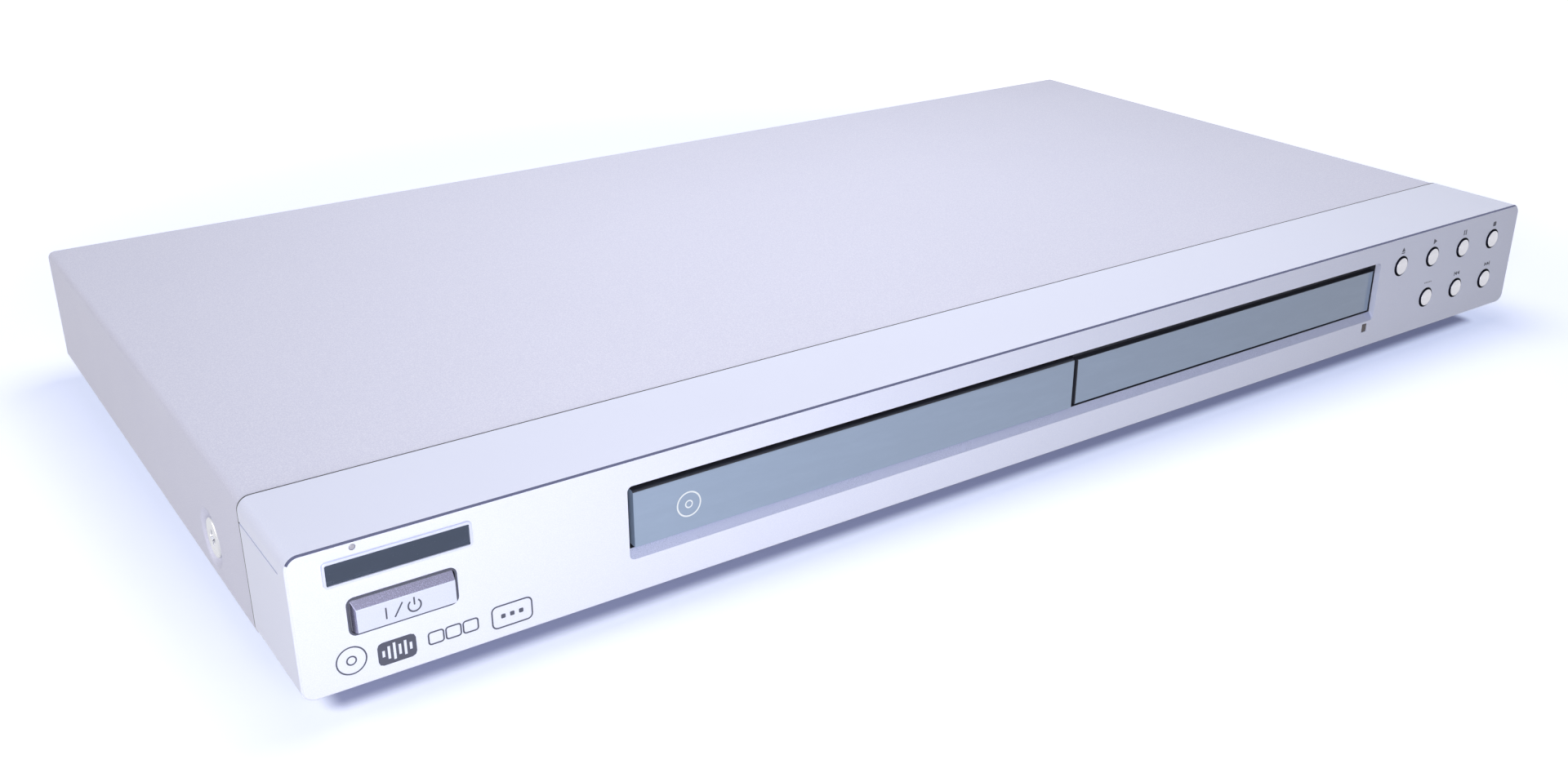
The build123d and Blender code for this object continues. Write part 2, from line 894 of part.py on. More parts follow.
def board_places(left, right, front, back):
    """The four screw places of a board, inside its corners."""
    xs = (left + board_margin, right - board_margin)
    ys = (front + board_margin, back - board_margin)
    return [(x, y) for x in xs for y in ys]


def base_pan():
    """The steel pan: floor, side flanges, ears for the side screws, beads, vents and standoffs."""
    front = panel_floor_reach + fit_gap
    narrow = half_width - panel_proud - sheet - fit_gap - tongue_wall - 0.4
    step = panel_depth + tongue_reach + 1
    pan = block(-narrow, narrow, front, step, foot_height, pan_top)
    pan += block(-pan_half_width, pan_half_width, step, rear_panel_y, foot_height, pan_top)
    pan += block(-narrow, narrow, front, front + sheet, foot_height, pan_top + pan_front_flange)
    notch_top = pan_top + pan_front_flange + 1
    pan -= block(loader_left - 2, loader_right + 2, front - 1, front + 2, pan_top, notch_top)
    ear_x = cover_half_width - dish_depth - sheet
    for side in (-1, 1):
        wall = sorted((side * pan_half_width, side * (pan_half_width - sheet)))
        wall_front = dish_y + pan_ear_width / 2 + 2
        pan += block(*wall, wall_front, rear_panel_y - sheet, foot_height, foot_height + pan_flange)
        ear = sorted((side * ear_x, side * (ear_x - sheet)))
        ear_face = Pos(dish_y, foot_height + pan_ear_height / 2) * Rectangle(pan_ear_width, pan_ear_height)
        pan += sideways(fillet(ear_face.vertices().group_by(Axis.Y)[-1], 3), *ear)
        hole = side_screw_radius + screw_clearance
        pan -= sideways_rod(dish_y, dish_height, hole, ear[0] - 1, ear[1] + 1)
        bead_x = side * (half_width - bead_margin)
        bead = Pos(bead_x, disc_y + bead_length / 2) * SlotOverall(bead_length, bead_width, rotation=90)
        pan += upwards(bead, pan_top - 0.1, foot_height + bead_height)
    vent_left = (main_board_left + main_board_right) / 2 - vent_pitch * (vent_count - 1) / 2
    for n in range(vent_count):
        vent = Pos(vent_left + n * vent_pitch, main_board_front - vent_length)
        pan -= upwards(
            vent * SlotOverall(vent_length, vent_width, rotation=90), foot_height - 1, pan_top + 1,
        )
    for x, y in foot_places():
        pan -= upright_hole(x, y, foot_screw_radius + screw_clearance, foot_height - 1, pan_top + 1)
    boards = board_places(main_board_left, main_board_right, main_board_front, board_back)
    boards += board_places(power_board_left, power_board_right, power_board_front, board_back)
    for x, y in boards:
        pan += upright_hole(x, y, standoff_radius, pan_top - 0.1, board_height)
    for x, y in loader_feet():
        pan += upright_hole(x, y, standoff_radius, pan_top - 0.1, loader_bottom)
        pan -= upright_hole(x, y, foot_screw_radius, pan_top - 0.5, loader_bottom + 1)
    return pan


def socket_places():
    """The middle of each phono socket: three columns of two, and one alone."""
    rows = (jack_lower_z, jack_upper_z)
    grid = [(jack_left_x + n * jack_column_pitch, z) for n in range(jack_columns) for z in rows]
    return grid + [(digital_jack_x, jack_lower_z)]


def rear_panel():
    """The back plate with its sockets' holes and a row of vents."""
    plate = block(
        -pan_half_width,
        pan_half_width,
        rear_panel_y - sheet,
        rear_panel_y,
        pan_top,
        cover_inside_top - fit_gap,
    )
    plate = fillet(plate.edges().filter_by(Axis.Y).group_by(Axis.Z)[-1], cover_bend)
    front = rear_panel_y - sheet - 1
    for x, z in socket_places():
        plate -= backward_rod(x, z, jack_ring_radius + fit_gap, front, case_depth)
    plate -= backward_rod(s_video_x, jack_upper_z, s_video_radius + fit_gap, front, case_depth)
    mains = Rectangle(mains_width - 2 * mains_lip + 2 * fit_gap, mains_tall - 2 * mains_lip + 2 * fit_gap)
    plate -= backwards(Pos(mains_x, mains_z) * mains, front, case_depth)
    for n in (-1, 0, 1):
        plate -= backward_rod(
            n * rear_screw_spread, lip_screw_z, rear_screw_radius + screw_clearance, front, case_depth,
        )
    for x, z in jack_screw_places():
        plate -= backward_rod(x, z, rear_screw_radius + screw_clearance, front, case_depth)
    for n in range(vent_count):
        x = loader_x + (n - (vent_count - 1) / 2) * vent_pitch
        slot = Pos(x, (foot_height + cover_top) / 2) * SlotOverall(vent_length / 2, vent_width, rotation=90)
        plate -= backwards(slot, front, case_depth)
    return plate


def jack_screw_places():
    """One screw beside each block of sockets, and one each side of the mains inlet."""
    beside = jack_right_x + jack_margin + rear_screw_radius + fit_gap
    spread = mains_width / 2 + mains_screw_gap
    return [
        (s_video_x - jack_margin - 4, jack_upper_z),
        (beside, jack_upper_z),
        (digital_jack_x, jack_upper_z),
        (mains_x - spread, mains_z),
        (mains_x + spread, mains_z),
    ]


def panel_screws():
    """Small screws that hold the sockets and the mains inlet to the rear panel."""
    screw = Pos(0, -sheet, 0) * rear_screw()
    return [Pos(x, 0, z) * screw for x, z in jack_screw_places()]


def feet():
    """Four moulded feet, waisted, with a recess for the screw's head."""
    section = outline(
        (foot_screw_radius + fit_gap, foot_floor),
        (foot_recess_radius, foot_floor),
        (foot_recess_radius, 0),
        (foot_waist, 0),
        (foot_waist + 0.8, 0.8),
        (foot_waist + 0.8, foot_height * 0.55),
        (foot_radius, foot_height * 0.62),
        (foot_radius, foot_height),
        (foot_screw_radius + fit_gap, foot_height),
    )
    return [upright_turning(section, x, y) for x, y in foot_places()]


def foot_screws():
    """A screw up through each foot into the pan."""
    seat = foot_floor
    section = outline(
        (0, seat - foot_screw_head),
        (foot_screw_head_radius * 0.6, seat - foot_screw_head),
        (foot_screw_head_radius, seat - foot_screw_head * 0.5),
        (foot_screw_head_radius, seat),
        (foot_screw_radius, seat),
        (foot_screw_radius, pan_top + foot_screw_tail),
        (0, pan_top + foot_screw_tail),
    )
    return [upright_turning(section, x, y) for x, y in foot_places()]


# --- Disc loader: frame, tray and drive ---
def loader_feet():
    """The loader frame's screw places, at its corners."""
    xs = (loader_x - loader_half_width + 6, loader_x + loader_half_width - 6)
    return [(x, y) for x in xs for y in (loader_front + 42, loader_back - 6)]


def loader_frame():
    """The moulded trough: two walls with rails and lugs, a floor with bays, posts and axles."""
    rail_top = tray_underside - loader_rail_gap
    wall_top = bridge_low
    frame = block(
        loader_left, loader_right, loader_front, loader_back, loader_bottom, loader_bottom + loader_floor,
    )
    for side in (-1, 1):
        outer = loader_x + side * loader_half_width
        inner = outer - side * loader_wall
        frame += block(*sorted((outer, inner)), loader_front, loader_back, loader_bottom, wall_top)
        rail = inner - side * loader_rail
        frame += block(
            *sorted((inner, rail)), loader_front, loader_back, rail_top - loader_rail_thickness, rail_top,
        )
        lug_low = tray_underside + tray_flange + loader_rail_gap
        lug = inner - side * loader_rail
        for y in (loader_front + 2, disc_y, loader_back - loader_lug_length - 20):
            frame += block(
                *sorted((inner, lug)), y, y + loader_lug_length, lug_low, lug_low + loader_lug_thickness,
            )
    back_wall_top = pivot_z - 6
    frame += block(
        loader_left, loader_right, loader_back - loader_wall, loader_back, loader_bottom, back_wall_top,
    )

    bay_half = traverse_half_width + 4
    bay_front = follower_y - cam_thickness - 5
    bay_right = loader_x + screw_offset + sled_motor_radius + 4
    frame -= block(
        loader_x - bay_half,
        bay_right,
        bay_front,
        traverse_back + 2,
        loader_bottom - 1,
        loader_bottom + loader_floor + 1,
    )
    cam_right_end = cam_right + cam_travel + 1
    frame -= block(
        cam_left - 1,
        cam_right_end,
        bay_front,
        follower_y,
        loader_bottom - 1,
        loader_bottom + loader_floor + 1,
    )
    frame -= upright_hole(
        motor_x,
        drive_gear_y,
        loading_motor_radius + fit_gap,
        loader_bottom - 1,
        loader_bottom + loader_floor + 1,
    )

    floor_top = loader_bottom + loader_floor
    for x, top in ((drive_gear_x, drive_gear_high - 0.6), (pulley_x, pulley_high - 0.6)):
        frame += upright_hole(x, drive_gear_y, axle_radius, floor_top - 0.1, top)
        frame += upright_hole(x, drive_gear_y, axle_radius + 1.2, floor_top - 0.1, wheel_low - fit_gap)
    for side in (-1, 1):
        post = damper_middle(side)
        stand = block(
            post - damper_width / 2, post + damper_width / 2, pivot_y - damper_radius - 2,
            pivot_y + damper_radius + 2, loader_bottom, pivot_z + damper_radius + 0.8,
        )
        frame += stand
        frame -= sideways_rod(pivot_y, pivot_z, damper_radius, post - damper_width, post + damper_width)
    for x, y in loader_feet():
        frame -= upright_hole(x, y, foot_screw_radius + fit_gap, loader_bottom - 1, floor_top + 1)
    return frame


def loader_screws():
    """Screws down through the frame's floor into the pan's standoffs."""
    top = loader_bottom + loader_floor
    section = outline(
        (0, pan_top),
        (foot_screw_radius - 0.05, pan_top),
        (foot_screw_radius - 0.05, top),
        (foot_screw_head_radius, top),
        (foot_screw_head_radius, top + foot_screw_head * 0.5),
        (foot_screw_head_radius * 0.6, top + foot_screw_head),
        (0, top + foot_screw_head),
    )
    return [upright_turning(section, x, y) for x, y in loader_feet()]


def rack_end():
    """Back end of the rack: the last mesh point and a little more."""
    return min(drive_gear_y + tray_travel + rack_tail, tray_back)


def rack_outline():
    """Straight-sided rack teeth that point to the right, drawn in x and y."""
    pitch = math.pi * gear_module
    slope = math.tan(math.radians(pressure_angle))
    half = pitch / 4 - tooth_slack / 2
    tip = rack_x + addendum * gear_module
    root = rack_x - dedendum * gear_module
    tip_half = half - slope * addendum * gear_module
    root_half = half + slope * dedendum * gear_module
    first = math.ceil((door_back + tray_front_wall + 1 - drive_gear_y) / pitch - 0.5)
    last = math.floor((rack_end() - 1 - drive_gear_y) / pitch - 0.5)
    points = [(root - rack_back, door_back + 0.5), (root, door_back + 0.5)]
    for n in range(first, last + 1):
        middle = drive_gear_y + (n + 0.5) * pitch
        points += [
            (
                root, middle - root_half,
            ), (tip, middle - tip_half), (tip, middle + tip_half), (root, middle + root_half),
        ]
    points += [(root, rack_end()), (root - rack_back, rack_end())]
    return outline(*points)


def disc_tray():
    """The tray: wells for both sizes of disc, a slot for the pickup, flanges, a front wall and the rack."""
    front = door_back
    middle = Pos(loader_x, (front + tray_back) / 2)
    body_width = tray_width - 2 * tray_flange_width
    plan = Rectangle(body_width, tray_back - front)
    tray = upwards(middle * fillet(plan.vertices().group_by(Axis.Y)[-1], 6), tray_underside, tray_top)
    flanges = middle * Rectangle(tray_width, tray_back - front)
    tray += upwards(flanges, tray_underside, tray_underside + tray_flange)
    disc_place = Pos(loader_x, disc_y)
    tray -= upwards(disc_place * Circle(disc_radius + disc_clearance), disc_well_floor, tray_top + 1)
    tray -= upwards(disc_place * Circle(small_disc_radius + disc_clearance), small_well_floor, tray_top)
    pocket = middle * Rectangle(body_width - 2 * corner_wall, tray_back - front - 2 * corner_wall)
    pocket -= disc_place * Circle(disc_radius + disc_clearance + corner_wall)
    pocket -= Pos(rack_x - dedendum - rack_back / 2, disc_y) * Rectangle(rack_back + 3, 3 * disc_radius)
    tray -= upwards(pocket, tray_underside - 1, tray_top - corner_wall)
    slot = disc_place * Circle(tray_slot_radius)
    slot += Pos(loader_x, (disc_y + tray_back) / 2 + 1) * Rectangle(
        2 * tray_slot_radius, tray_back - disc_y + 2,
    )
    tray -= upwards(slot, tray_underside - 1, tray_top + 1)
    for side in (-1, 1):
        notch = Pos(loader_x + side * (disc_radius - 2), disc_y) * SlotOverall(24, 12, rotation=90)
        tray -= upwards(notch, small_well_floor, tray_top + 1)
    wall_top = tray_underside + tray_front_height
    wall_half = tray_width / 2 - 1
    tray += block(
        loader_x - wall_half,
        loader_x + wall_half,
        front,
        front + tray_front_wall,
        tray_underside,
        wall_top,
    )
    tray += upwards(rack_outline(), rack_bottom, tray_underside + 0.1)
    return tray


def involute_angle(base, radius):
    """How far an involute has turned from its base circle at a radius."""
    lean = math.acos(min(base / radius, 1.0))
    return math.tan(lean) - lean


def gear_outline(teeth, module, turn):
    """An involute gear with a tooth pointing along turn, in radians."""
    pitch_radius = module * teeth / 2
    base = pitch_radius * math.cos(math.radians(pressure_angle))
    tip = pitch_radius + addendum * module
    root = pitch_radius - dedendum * module
    half = math.pi / (2 * teeth) - tooth_slack / (2 * pitch_radius)
    half += involute_angle(base, pitch_radius)
    foot = max(base, root)
    radii = [foot + (tip - foot) * step / 2 for step in range(3)]
    flank = [(root, half)] if root < base else []
    flank += [(radius, half - involute_angle(base, radius)) for radius in radii]
    points = []
    for n in range(teeth):
        middle = turn + 2 * math.pi * n / teeth
        for radius, angle in flank:
            points.append((radius * math.cos(middle - angle), radius * math.sin(middle - angle)))
        for radius, angle in reversed(flank):
            points.append((radius * math.cos(middle + angle), radius * math.sin(middle + angle)))
    return outline(*points)


def tray_drive_gear():
    """A double gear: the upper teeth drive the rack, the broad wheel below takes the pinion."""
    place = Pos(drive_gear_x, drive_gear_y)
    gear = upwards(place * gear_outline(wheel_teeth, reduction_module, 0.0), wheel_low, wheel_high)
    upper = gear_outline(drive_teeth, gear_module, math.pi)
    gear += upwards(place * Circle(drive_hub_radius), wheel_high - 0.1, drive_gear_low + 0.1)
    gear += upwards(place * upper, drive_gear_low, drive_gear_high)
    return gear - upright_hole(drive_gear_x, drive_gear_y, axle_radius + axle_clearance, 0, case_height)


def grooved_rim(radius, low, high, bore):
    """Section of a pulley with a square groove for the belt."""
    middle = (low + high) / 2
    half = belt_width / 2 + belt_clearance
    return outline(
        (bore, low),
        (radius, low),
        (radius, middle - half),
        (radius - pulley_groove, middle - half),
        (radius - pulley_groove, middle + half),
        (radius, middle + half),
        (radius, high),
        (bore, high),
    )


def pulley_gear():
    """The belt's big pulley over the pinion that drives the broad wheel."""
    bore = axle_radius + axle_clearance
    gap_at_left = math.pi + math.pi / pinion_teeth
    teeth = Pos(pulley_x, drive_gear_y) * gear_outline(pinion_teeth, reduction_module, gap_at_left)
    gear = upwards(teeth, wheel_low - 0.1, pulley_low + 0.1)
    gear += upright_turning(
        grooved_rim(pulley_radius, pulley_low, pulley_high, bore), pulley_x, drive_gear_y,
    )
    return gear - upright_hole(pulley_x, drive_gear_y, bore, 0, case_height)


def motor_pulley():
    """The small pulley on the loading motor's shaft."""
    bore = motor_shaft_radius + axle_clearance
    section = grooved_rim(motor_pulley_radius, pulley_low, pulley_high, bore)
    return upright_turning(section, motor_x, drive_gear_y)


def drive_belt():
    """A square rubber belt round both pulleys."""
    middle = (pulley_low + pulley_high) / 2
    inner_big = pulley_radius - pulley_groove + belt_clearance
    inner_small = motor_pulley_radius - pulley_groove + belt_clearance

    def loop(extra):
        circles = Pos(pulley_x, drive_gear_y) * Circle(inner_big + extra)
        small = Pos(motor_x, drive_gear_y) * Circle(inner_small + extra)
        return make_hull(circles.edges() + small.edges())

    return upwards(loop(belt_width) - loop(0), middle - belt_width / 2, middle + belt_width / 2)


def loading_motor():
    """A flat can motor with its shaft up."""
    shaft_top = pulley_high - 0.4
    section = outline(
        (0, loading_motor_low),
        (loading_motor_radius - 1, loading_motor_low),
        (loading_motor_radius, loading_motor_low + 1),
        (loading_motor_radius, loading_motor_high - 1),
        (loading_motor_radius - 1, loading_motor_high),
        (3.0, loading_motor_high),
        (3.0, loading_motor_high + 0.4),
        (motor_shaft_radius, loading_motor_high + 0.4),
        (motor_shaft_radius, shaft_top),
        (0, shaft_top),
    )
    return upright_turning(section, motor_x, drive_gear_y)


def slide_cam():
    """An upright plate with two sloped slots; sliding it right lowers the traverse's pins."""
    front = follower_y - cam_thickness
    drop = (pivot_y - follower_y) * math.sin(math.radians(lift_angle))
    slot_width = 2 * (follower_radius + cam_clearance)
    run = math.hypot(cam_travel, drop) + 2 * cam_slot_spare
    slope = math.degrees(math.atan2(drop, cam_travel))
    middle_z = (cam_low + cam_high) / 2
    card = Rectangle(cam_right - cam_left, cam_high - cam_low)
    card = fillet(card.vertices(), 1.5)
    plate = Pos((cam_left + cam_right) / 2, middle_z) * card
    for side in (-1, 1):
        pin_x = loader_x + side * follower_spread
        place = Pos(pin_x - cam_travel / 2, follower_z - drop / 2)
        plate -= place * SlotOverall(run + slot_width, slot_width, rotation=slope)
    cam = backwards(plate, front, follower_y)
    foot = block(cam_left + 4, cam_right - 4, front - 4, front + 0.1, cam_low, cam_low + 1.5)
    return cam + foot


# --- Disc loader: traverse, pickup and spindle ---
def damper_middle(side):
    """Across: the middle of the rubber bush on one side."""
    return loader_x + side * (traverse_half_width + 4 + pivot_reach - damper_width / 2)


def traverse_base():
    """A plate with a bay for the pickup, pivot pins, cam pins, rod holders and motor cradle."""
    top = traverse_low + traverse_thickness
    right = loader_x + screw_offset + sled_motor_radius + 2
    left = loader_x - traverse_half_width
    plate = Pos((left + right) / 2, (traverse_front + traverse_back) / 2)
    card = plate * RectangleRounded(right - left, traverse_back - traverse_front, 3)
    bay = Pos(loader_x, (sled_bay_front + sled_bay_back) / 2)
    card -= bay * RectangleRounded(2 * sled_bay_half_width, sled_bay_back - sled_bay_front, 2)
    card -= Pos(loader_x, disc_y) * Circle(rotor_radius + 1)
    base = upwards(card, traverse_low, top)
    for side in (-1, 1):
        inner = loader_x + side * (traverse_half_width - 2)
        tip = loader_x + side * (traverse_half_width + 4 + pivot_reach)
        base += sideways_rod(pivot_y, pivot_z, pivot_radius, *sorted((inner, tip)))
        pin_x = loader_x + side * follower_spread
        base += backward_rod(
            pin_x, follower_z, follower_radius, follower_y - cam_thickness + 0.5, traverse_front + 4,
        )
        base += block(
            pin_x - 3, pin_x + 3, traverse_front, traverse_front + 6, traverse_low, follower_z + 1.5,
        )
        rod_x = loader_x + side * rod_offset
        for y in (sled_bay_front - 4, sled_bay_back):
            holder = block(rod_x - 3, rod_x + 3, y, y + 4, traverse_low, rod_z)
            base += holder
        base -= backward_rod(rod_x, rod_z, rod_radius, sled_bay_front - 5, sled_bay_back + 5)
    screw_x = loader_x + screw_offset
    rear_stay = block(screw_x - 3, screw_x + 3, sled_bay_back, sled_bay_back + 3, traverse_low, rod_z + 2.5)
    base += rear_stay
    base -= backward_rod(
        screw_x, rod_z, lead_screw_radius - 0.4 + axle_clearance, sled_bay_back - 1, sled_bay_back + 4,
    )
    motor_bay = block(
        screw_x - sled_motor_radius - fit_gap, right + 1, sled_motor_y - fit_gap,
        sled_motor_y + sled_motor_length + fit_gap, traverse_low - 1, top + 1,
    )
    base -= motor_bay
    cradle_front = sled_motor_y + sled_motor_length
    bay_edge = loader_x + sled_bay_half_width - 1
    base -= block(
        bay_edge, screw_x + sled_motor_radius, cradle_front, sled_bay_back, traverse_low - 1, top + 1,
    )
    cradle = block(
        screw_x - 6, screw_x + 6, cradle_front, cradle_front + 1.5, traverse_low, rod_z + sled_motor_radius,
    )
    base += cradle - backward_rod(
        screw_x, rod_z, lead_screw_radius + 0.6, cradle_front - 1, cradle_front + 2,
    )
    half = pivot_radius + 1.5
    for side in (-1, 1):
        edge = loader_x + side * (traverse_half_width - 2)
        base += block(
            *sorted((edge, edge - side * 4)), pivot_y - half, pivot_y + half, traverse_low, pivot_z + half,
        )
    return base


def traverse_dampers():
    """A rubber bush on each pivot pin."""
    bushes = []
    for side in (-1, 1):
        middle = damper_middle(side)
        ring = Pos(pivot_y, pivot_z) * (
            Circle(damper_radius - 0.02) - Circle(pivot_radius + axle_clearance)
        )
        bushes.append(sideways(ring, middle - damper_width / 2, middle + damper_width / 2))
    return bushes


def spindle_motor():
    """The spindle motor's fixed plate and bearing post."""
    top = traverse_low + traverse_thickness
    plate = Pos(loader_x, disc_y) * (
        Circle(spindle_plate_radius) - Circle(spindle_shaft_radius + axle_clearance)
    )
    motor = upwards(plate, top, top + 1.0)
    post = Pos(loader_x, disc_y) * (Circle(3.0) - Circle(spindle_shaft_radius + axle_clearance))
    return motor + upwards(post, top - 1.2, rotor_high - 2.4)


def turntable():
    """The rotor bell, the disc's seat and the centring cone, on the spindle's shaft."""
    seat_low = turntable_seat - 2.2
    section = outline(
        (0, traverse_low + 0.5),
        (spindle_shaft_radius, traverse_low + 0.5),
        (spindle_shaft_radius, rotor_high - 1.2),
        (rotor_radius - 1.0, rotor_high - 1.2),
        (rotor_radius - 1.0, rotor_low),
        (rotor_radius, rotor_low),
        (rotor_radius, rotor_high),
        (turntable_cone_radius - 1.5, rotor_high),
        (turntable_cone_radius - 1.5, seat_low),
        (turntable_radius, seat_low),
        (turntable_radius, turntable_seat),
        (turntable_cone_radius, turntable_seat),
        (turntable_cone_radius - 0.7, turntable_seat + turntable_cone),
        (2.0, turntable_seat + turntable_cone),
        (1.4, turntable_seat + turntable_cone - 0.8),
        (0, turntable_seat + turntable_cone - 0.8),
    )
    return upright_turning(section, loader_x, disc_y)


def guide_rods():
    """Two polished rods that carry the pickup."""
    rods = []
    for side in (-1, 1):
        x = loader_x + side * rod_offset
        rods.append(backward_rod(x, rod_z, rod_radius, sled_bay_front - 4, sled_bay_back + 4))
    return rods


def pickup_sled():
    """The pickup: a body scooped round the spindle, two bearings, a lens bay and an arm to the screw."""
    front = sled_y - sled_half_length
    back = sled_y + sled_half_length
    plan = Pos(loader_x, sled_y) * RectangleRounded(2 * sled_half_width, 2 * sled_half_length, 2)
    plan -= Pos(loader_x, disc_y) * Circle(spindle_plate_radius + 0.6)
    sled = upwards(plan, sled_low, sled_high)
    for side in (-1, 1):
        rod_x = loader_x + side * rod_offset
        wall = loader_x + side * (sled_half_width - 1)
        arm = sorted((wall, rod_x + side * 3.2))
        sled += block(*arm, sled_y - 5, sled_y + 5, rod_z - 3, rod_z + 3)
        sled -= backward_rod(rod_x, rod_z, rod_radius + rod_clearance, front - 1, back + 1)
    screw_x = loader_x + screw_offset
    half_nut = block(
        loader_x + rod_offset + 3, screw_x + 3, sled_y - 2, sled_y + 2, rod_z - 2.6, rod_z + 2.6,
    )
    sled += half_nut
    sled -= backward_rod(screw_x, rod_z, lead_screw_radius + 0.15, front, back)
    lens_bay = Pos(loader_x, sled_y) * RectangleRounded(13, 11, 1.5)
    return sled - upwards(lens_bay, sled_high - 3.5, sled_high + 1)


def objective_lens():
    """The lens in its small moving holder."""
    low = sled_high - 3.5 + lens_travel + fit_gap
    shoulder = sled_high - 0.2
    holder = upwards(Pos(loader_x, sled_y) * RectangleRounded(11, 8, 1.0), low, shoulder)
    section = outline(
        (0, low + 0.2),
        (lens_radius, low + 0.2),
        (lens_radius, lens_top - 0.6),
        (lens_radius * 0.7, lens_top - 0.15),
        (lens_radius * 0.3, lens_top),
        (0, lens_top),
    )
    return holder + upright_turning(section, loader_x, sled_y)


def sled_motor():
    """A round can motor that lies front to back."""
    section = outline(
        (0, sled_motor_y),
        (sled_motor_radius - 0.6, sled_motor_y),
        (sled_motor_radius, sled_motor_y + 0.6),
        (sled_motor_radius, sled_motor_y + sled_motor_length),
        (0, sled_motor_y + sled_motor_length),
    )
    return backward_turning(section, loader_x + screw_offset, rod_z)


def lead_screw():
    """The grooved screw that moves the pickup, with a journal in the rear stay."""
    start = sled_motor_y + sled_motor_length + 0.05
    thread_start = sled_bay_front + 5
    thread_end = sled_bay_back - 0.4
    root = lead_screw_radius - 0.35
    points = [(0, start), (root, start), (root, thread_start)]
    count = int((thread_end - thread_start) / lead_pitch)
    for n in range(count):
        y = thread_start + n * lead_pitch
        points += [
            (root, y),
            (lead_screw_radius, y + lead_pitch * 0.25),
            (lead_screw_radius, y + lead_pitch * 0.6),
            (root, y + lead_pitch * 0.85),
        ]
    journal = lead_screw_radius - 0.4
    points += [
        (root, thread_end), (journal, thread_end), (journal, sled_bay_back + 2.8), (0, sled_bay_back + 2.8),
    ]
    unique = [point for n, point in enumerate(points) if n == 0 or point != points[n - 1]]
    return backward_turning(outline(*unique), loader_x + screw_offset, rod_z)


def clamper_bridge():
    """A steel bridge over the tray, with a hole that the clamper hangs in."""
    front = disc_y - bridge_depth / 2
    back = disc_y + bridge_depth / 2
    plan = Pos(loader_x, disc_y) * Rectangle(2 * loader_half_width, bridge_depth)
    plan -= Pos(loader_x, disc_y) * Circle(bridge_hole_radius)
    bridge = upwards(plan, bridge_low, bridge_low + bridge_thickness)
    for y in (front, back):
        rim = sorted((y, y + (sheet if y == front else -sheet)))
        inside = loader_half_width - bridge_foot
        bridge += block(loader_x - inside, loader_x + inside, *rim, bridge_low, bridge_low + 4)
    return bridge


def clamper():
    """The mushroom that holds a disc on the turntable."""
    flange_low = bridge_low + bridge_thickness + fit_gap
    section = outline(
        (0, clamper_bottom + clamper_recess),
        (clamper_recess_radius, clamper_bottom + clamper_recess),
        (clamper_recess_radius, clamper_bottom),
        (clamper_radius, clamper_bottom),
        (clamper_radius, clamper_bottom + clamper_lower),
        (clamper_neck_radius, clamper_bottom + clamper_lower),
        (clamper_neck_radius, flange_low),
        (clamper_flange_radius, flange_low),
        (clamper_flange_radius, flange_low + clamper_flange),
        (clamper_flange_radius - 3, flange_low + clamper_flange),
        (clamper_flange_radius - 3.5, flange_low + 0.6),
        (0, flange_low + 0.6),
    )
    return upright_turning(section, loader_x, disc_y)


# --- Boards, power supply and sockets ---
def main_board():
    """The card on the right, for sound, picture and control."""
    middle = Pos((main_board_left + main_board_right) / 2, (main_board_front + board_back) / 2)
    card = middle * RectangleRounded(main_board_right - main_board_left, board_back - main_board_front, 2)
    return upwards(card, board_height, board_top)


def main_board_chips():
    """The decoder, two memories, a driver and a connector."""
    middle = Pos(main_board_right - chip_margin, main_board_front + chip_back)
    memory_shift = (chip_size + memory_width) / 2 + memory_gap
    driver_shift = memory_shift + (memory_width + driver_size) / 2 + driver_gap
    decoder = upwards(
        middle * chamfer(Rectangle(chip_size, chip_size).vertices(), 1), board_top, board_top + chip_height,
    )
    chips = [decoder]
    for shift in (-memory_shift, memory_shift):
        memory = middle * Pos(shift, 0) * Rectangle(memory_width, memory_length)
        chips.append(upwards(memory, board_top, board_top + memory_height))
    driver = middle * Pos(-driver_shift, 0) * Rectangle(driver_size, driver_size)
    chips.append(upwards(driver, board_top, board_top + memory_height))
    front = main_board_front + connector_back
    half = connector_width / 2
    body = block(
        ribbon_x - half,
        ribbon_x + half,
        front,
        front + connector_length,
        board_top,
        board_top + connector_height,
    )
    chips.append(body)
    return chips


def power_board():
    """The card on the left, for the power supply."""
    middle = Pos(power_board_middle, (power_board_front + board_back) / 2)
    card = middle * RectangleRounded(
        power_board_right - power_board_left, board_back - power_board_front, 2,
    )
    return upwards(card, board_height, board_top)


def transformer():
    """The mains transformer: a coil former between two halves of a core."""
    middle = Pos(power_board_middle, power_board_front + transformer_back)
    core = middle * RectangleRounded(transformer_size, transformer_size * 0.55, 1.0)
    coil = middle * RectangleRounded(transformer_size * 0.7, transformer_size * 0.9, 3.0)
    top = board_top + transformer_height
    return upwards(
        core, board_top + transformer_lift, top,
    ) + upwards(coil, board_top, top - transformer_lift)


def power_capacitors():
    """One large smoothing capacitor and three small ones."""
    x = power_board_right - small_capacitor_inset
    y = power_board_front + small_capacitor_back
    step = small_capacitor_pitch
    small = [(x, y + step), (x, y), (x - step, y)]
    places = [(x, y, small_capacitor_radius, small_capacitor_height) for x, y in small]
    large_x = power_board_left + capacitor_inset
    places.append((large_x, power_board_front + capacitor_back, capacitor_radius, capacitor_height))
    cans = []
    for x, y, radius, height in places:
        can = upright_hole(x, y, radius, board_top, board_top + height)
        cans.append(chamfer(can.edges().group_by(Axis.Z)[-1], 0.8))
    return cans


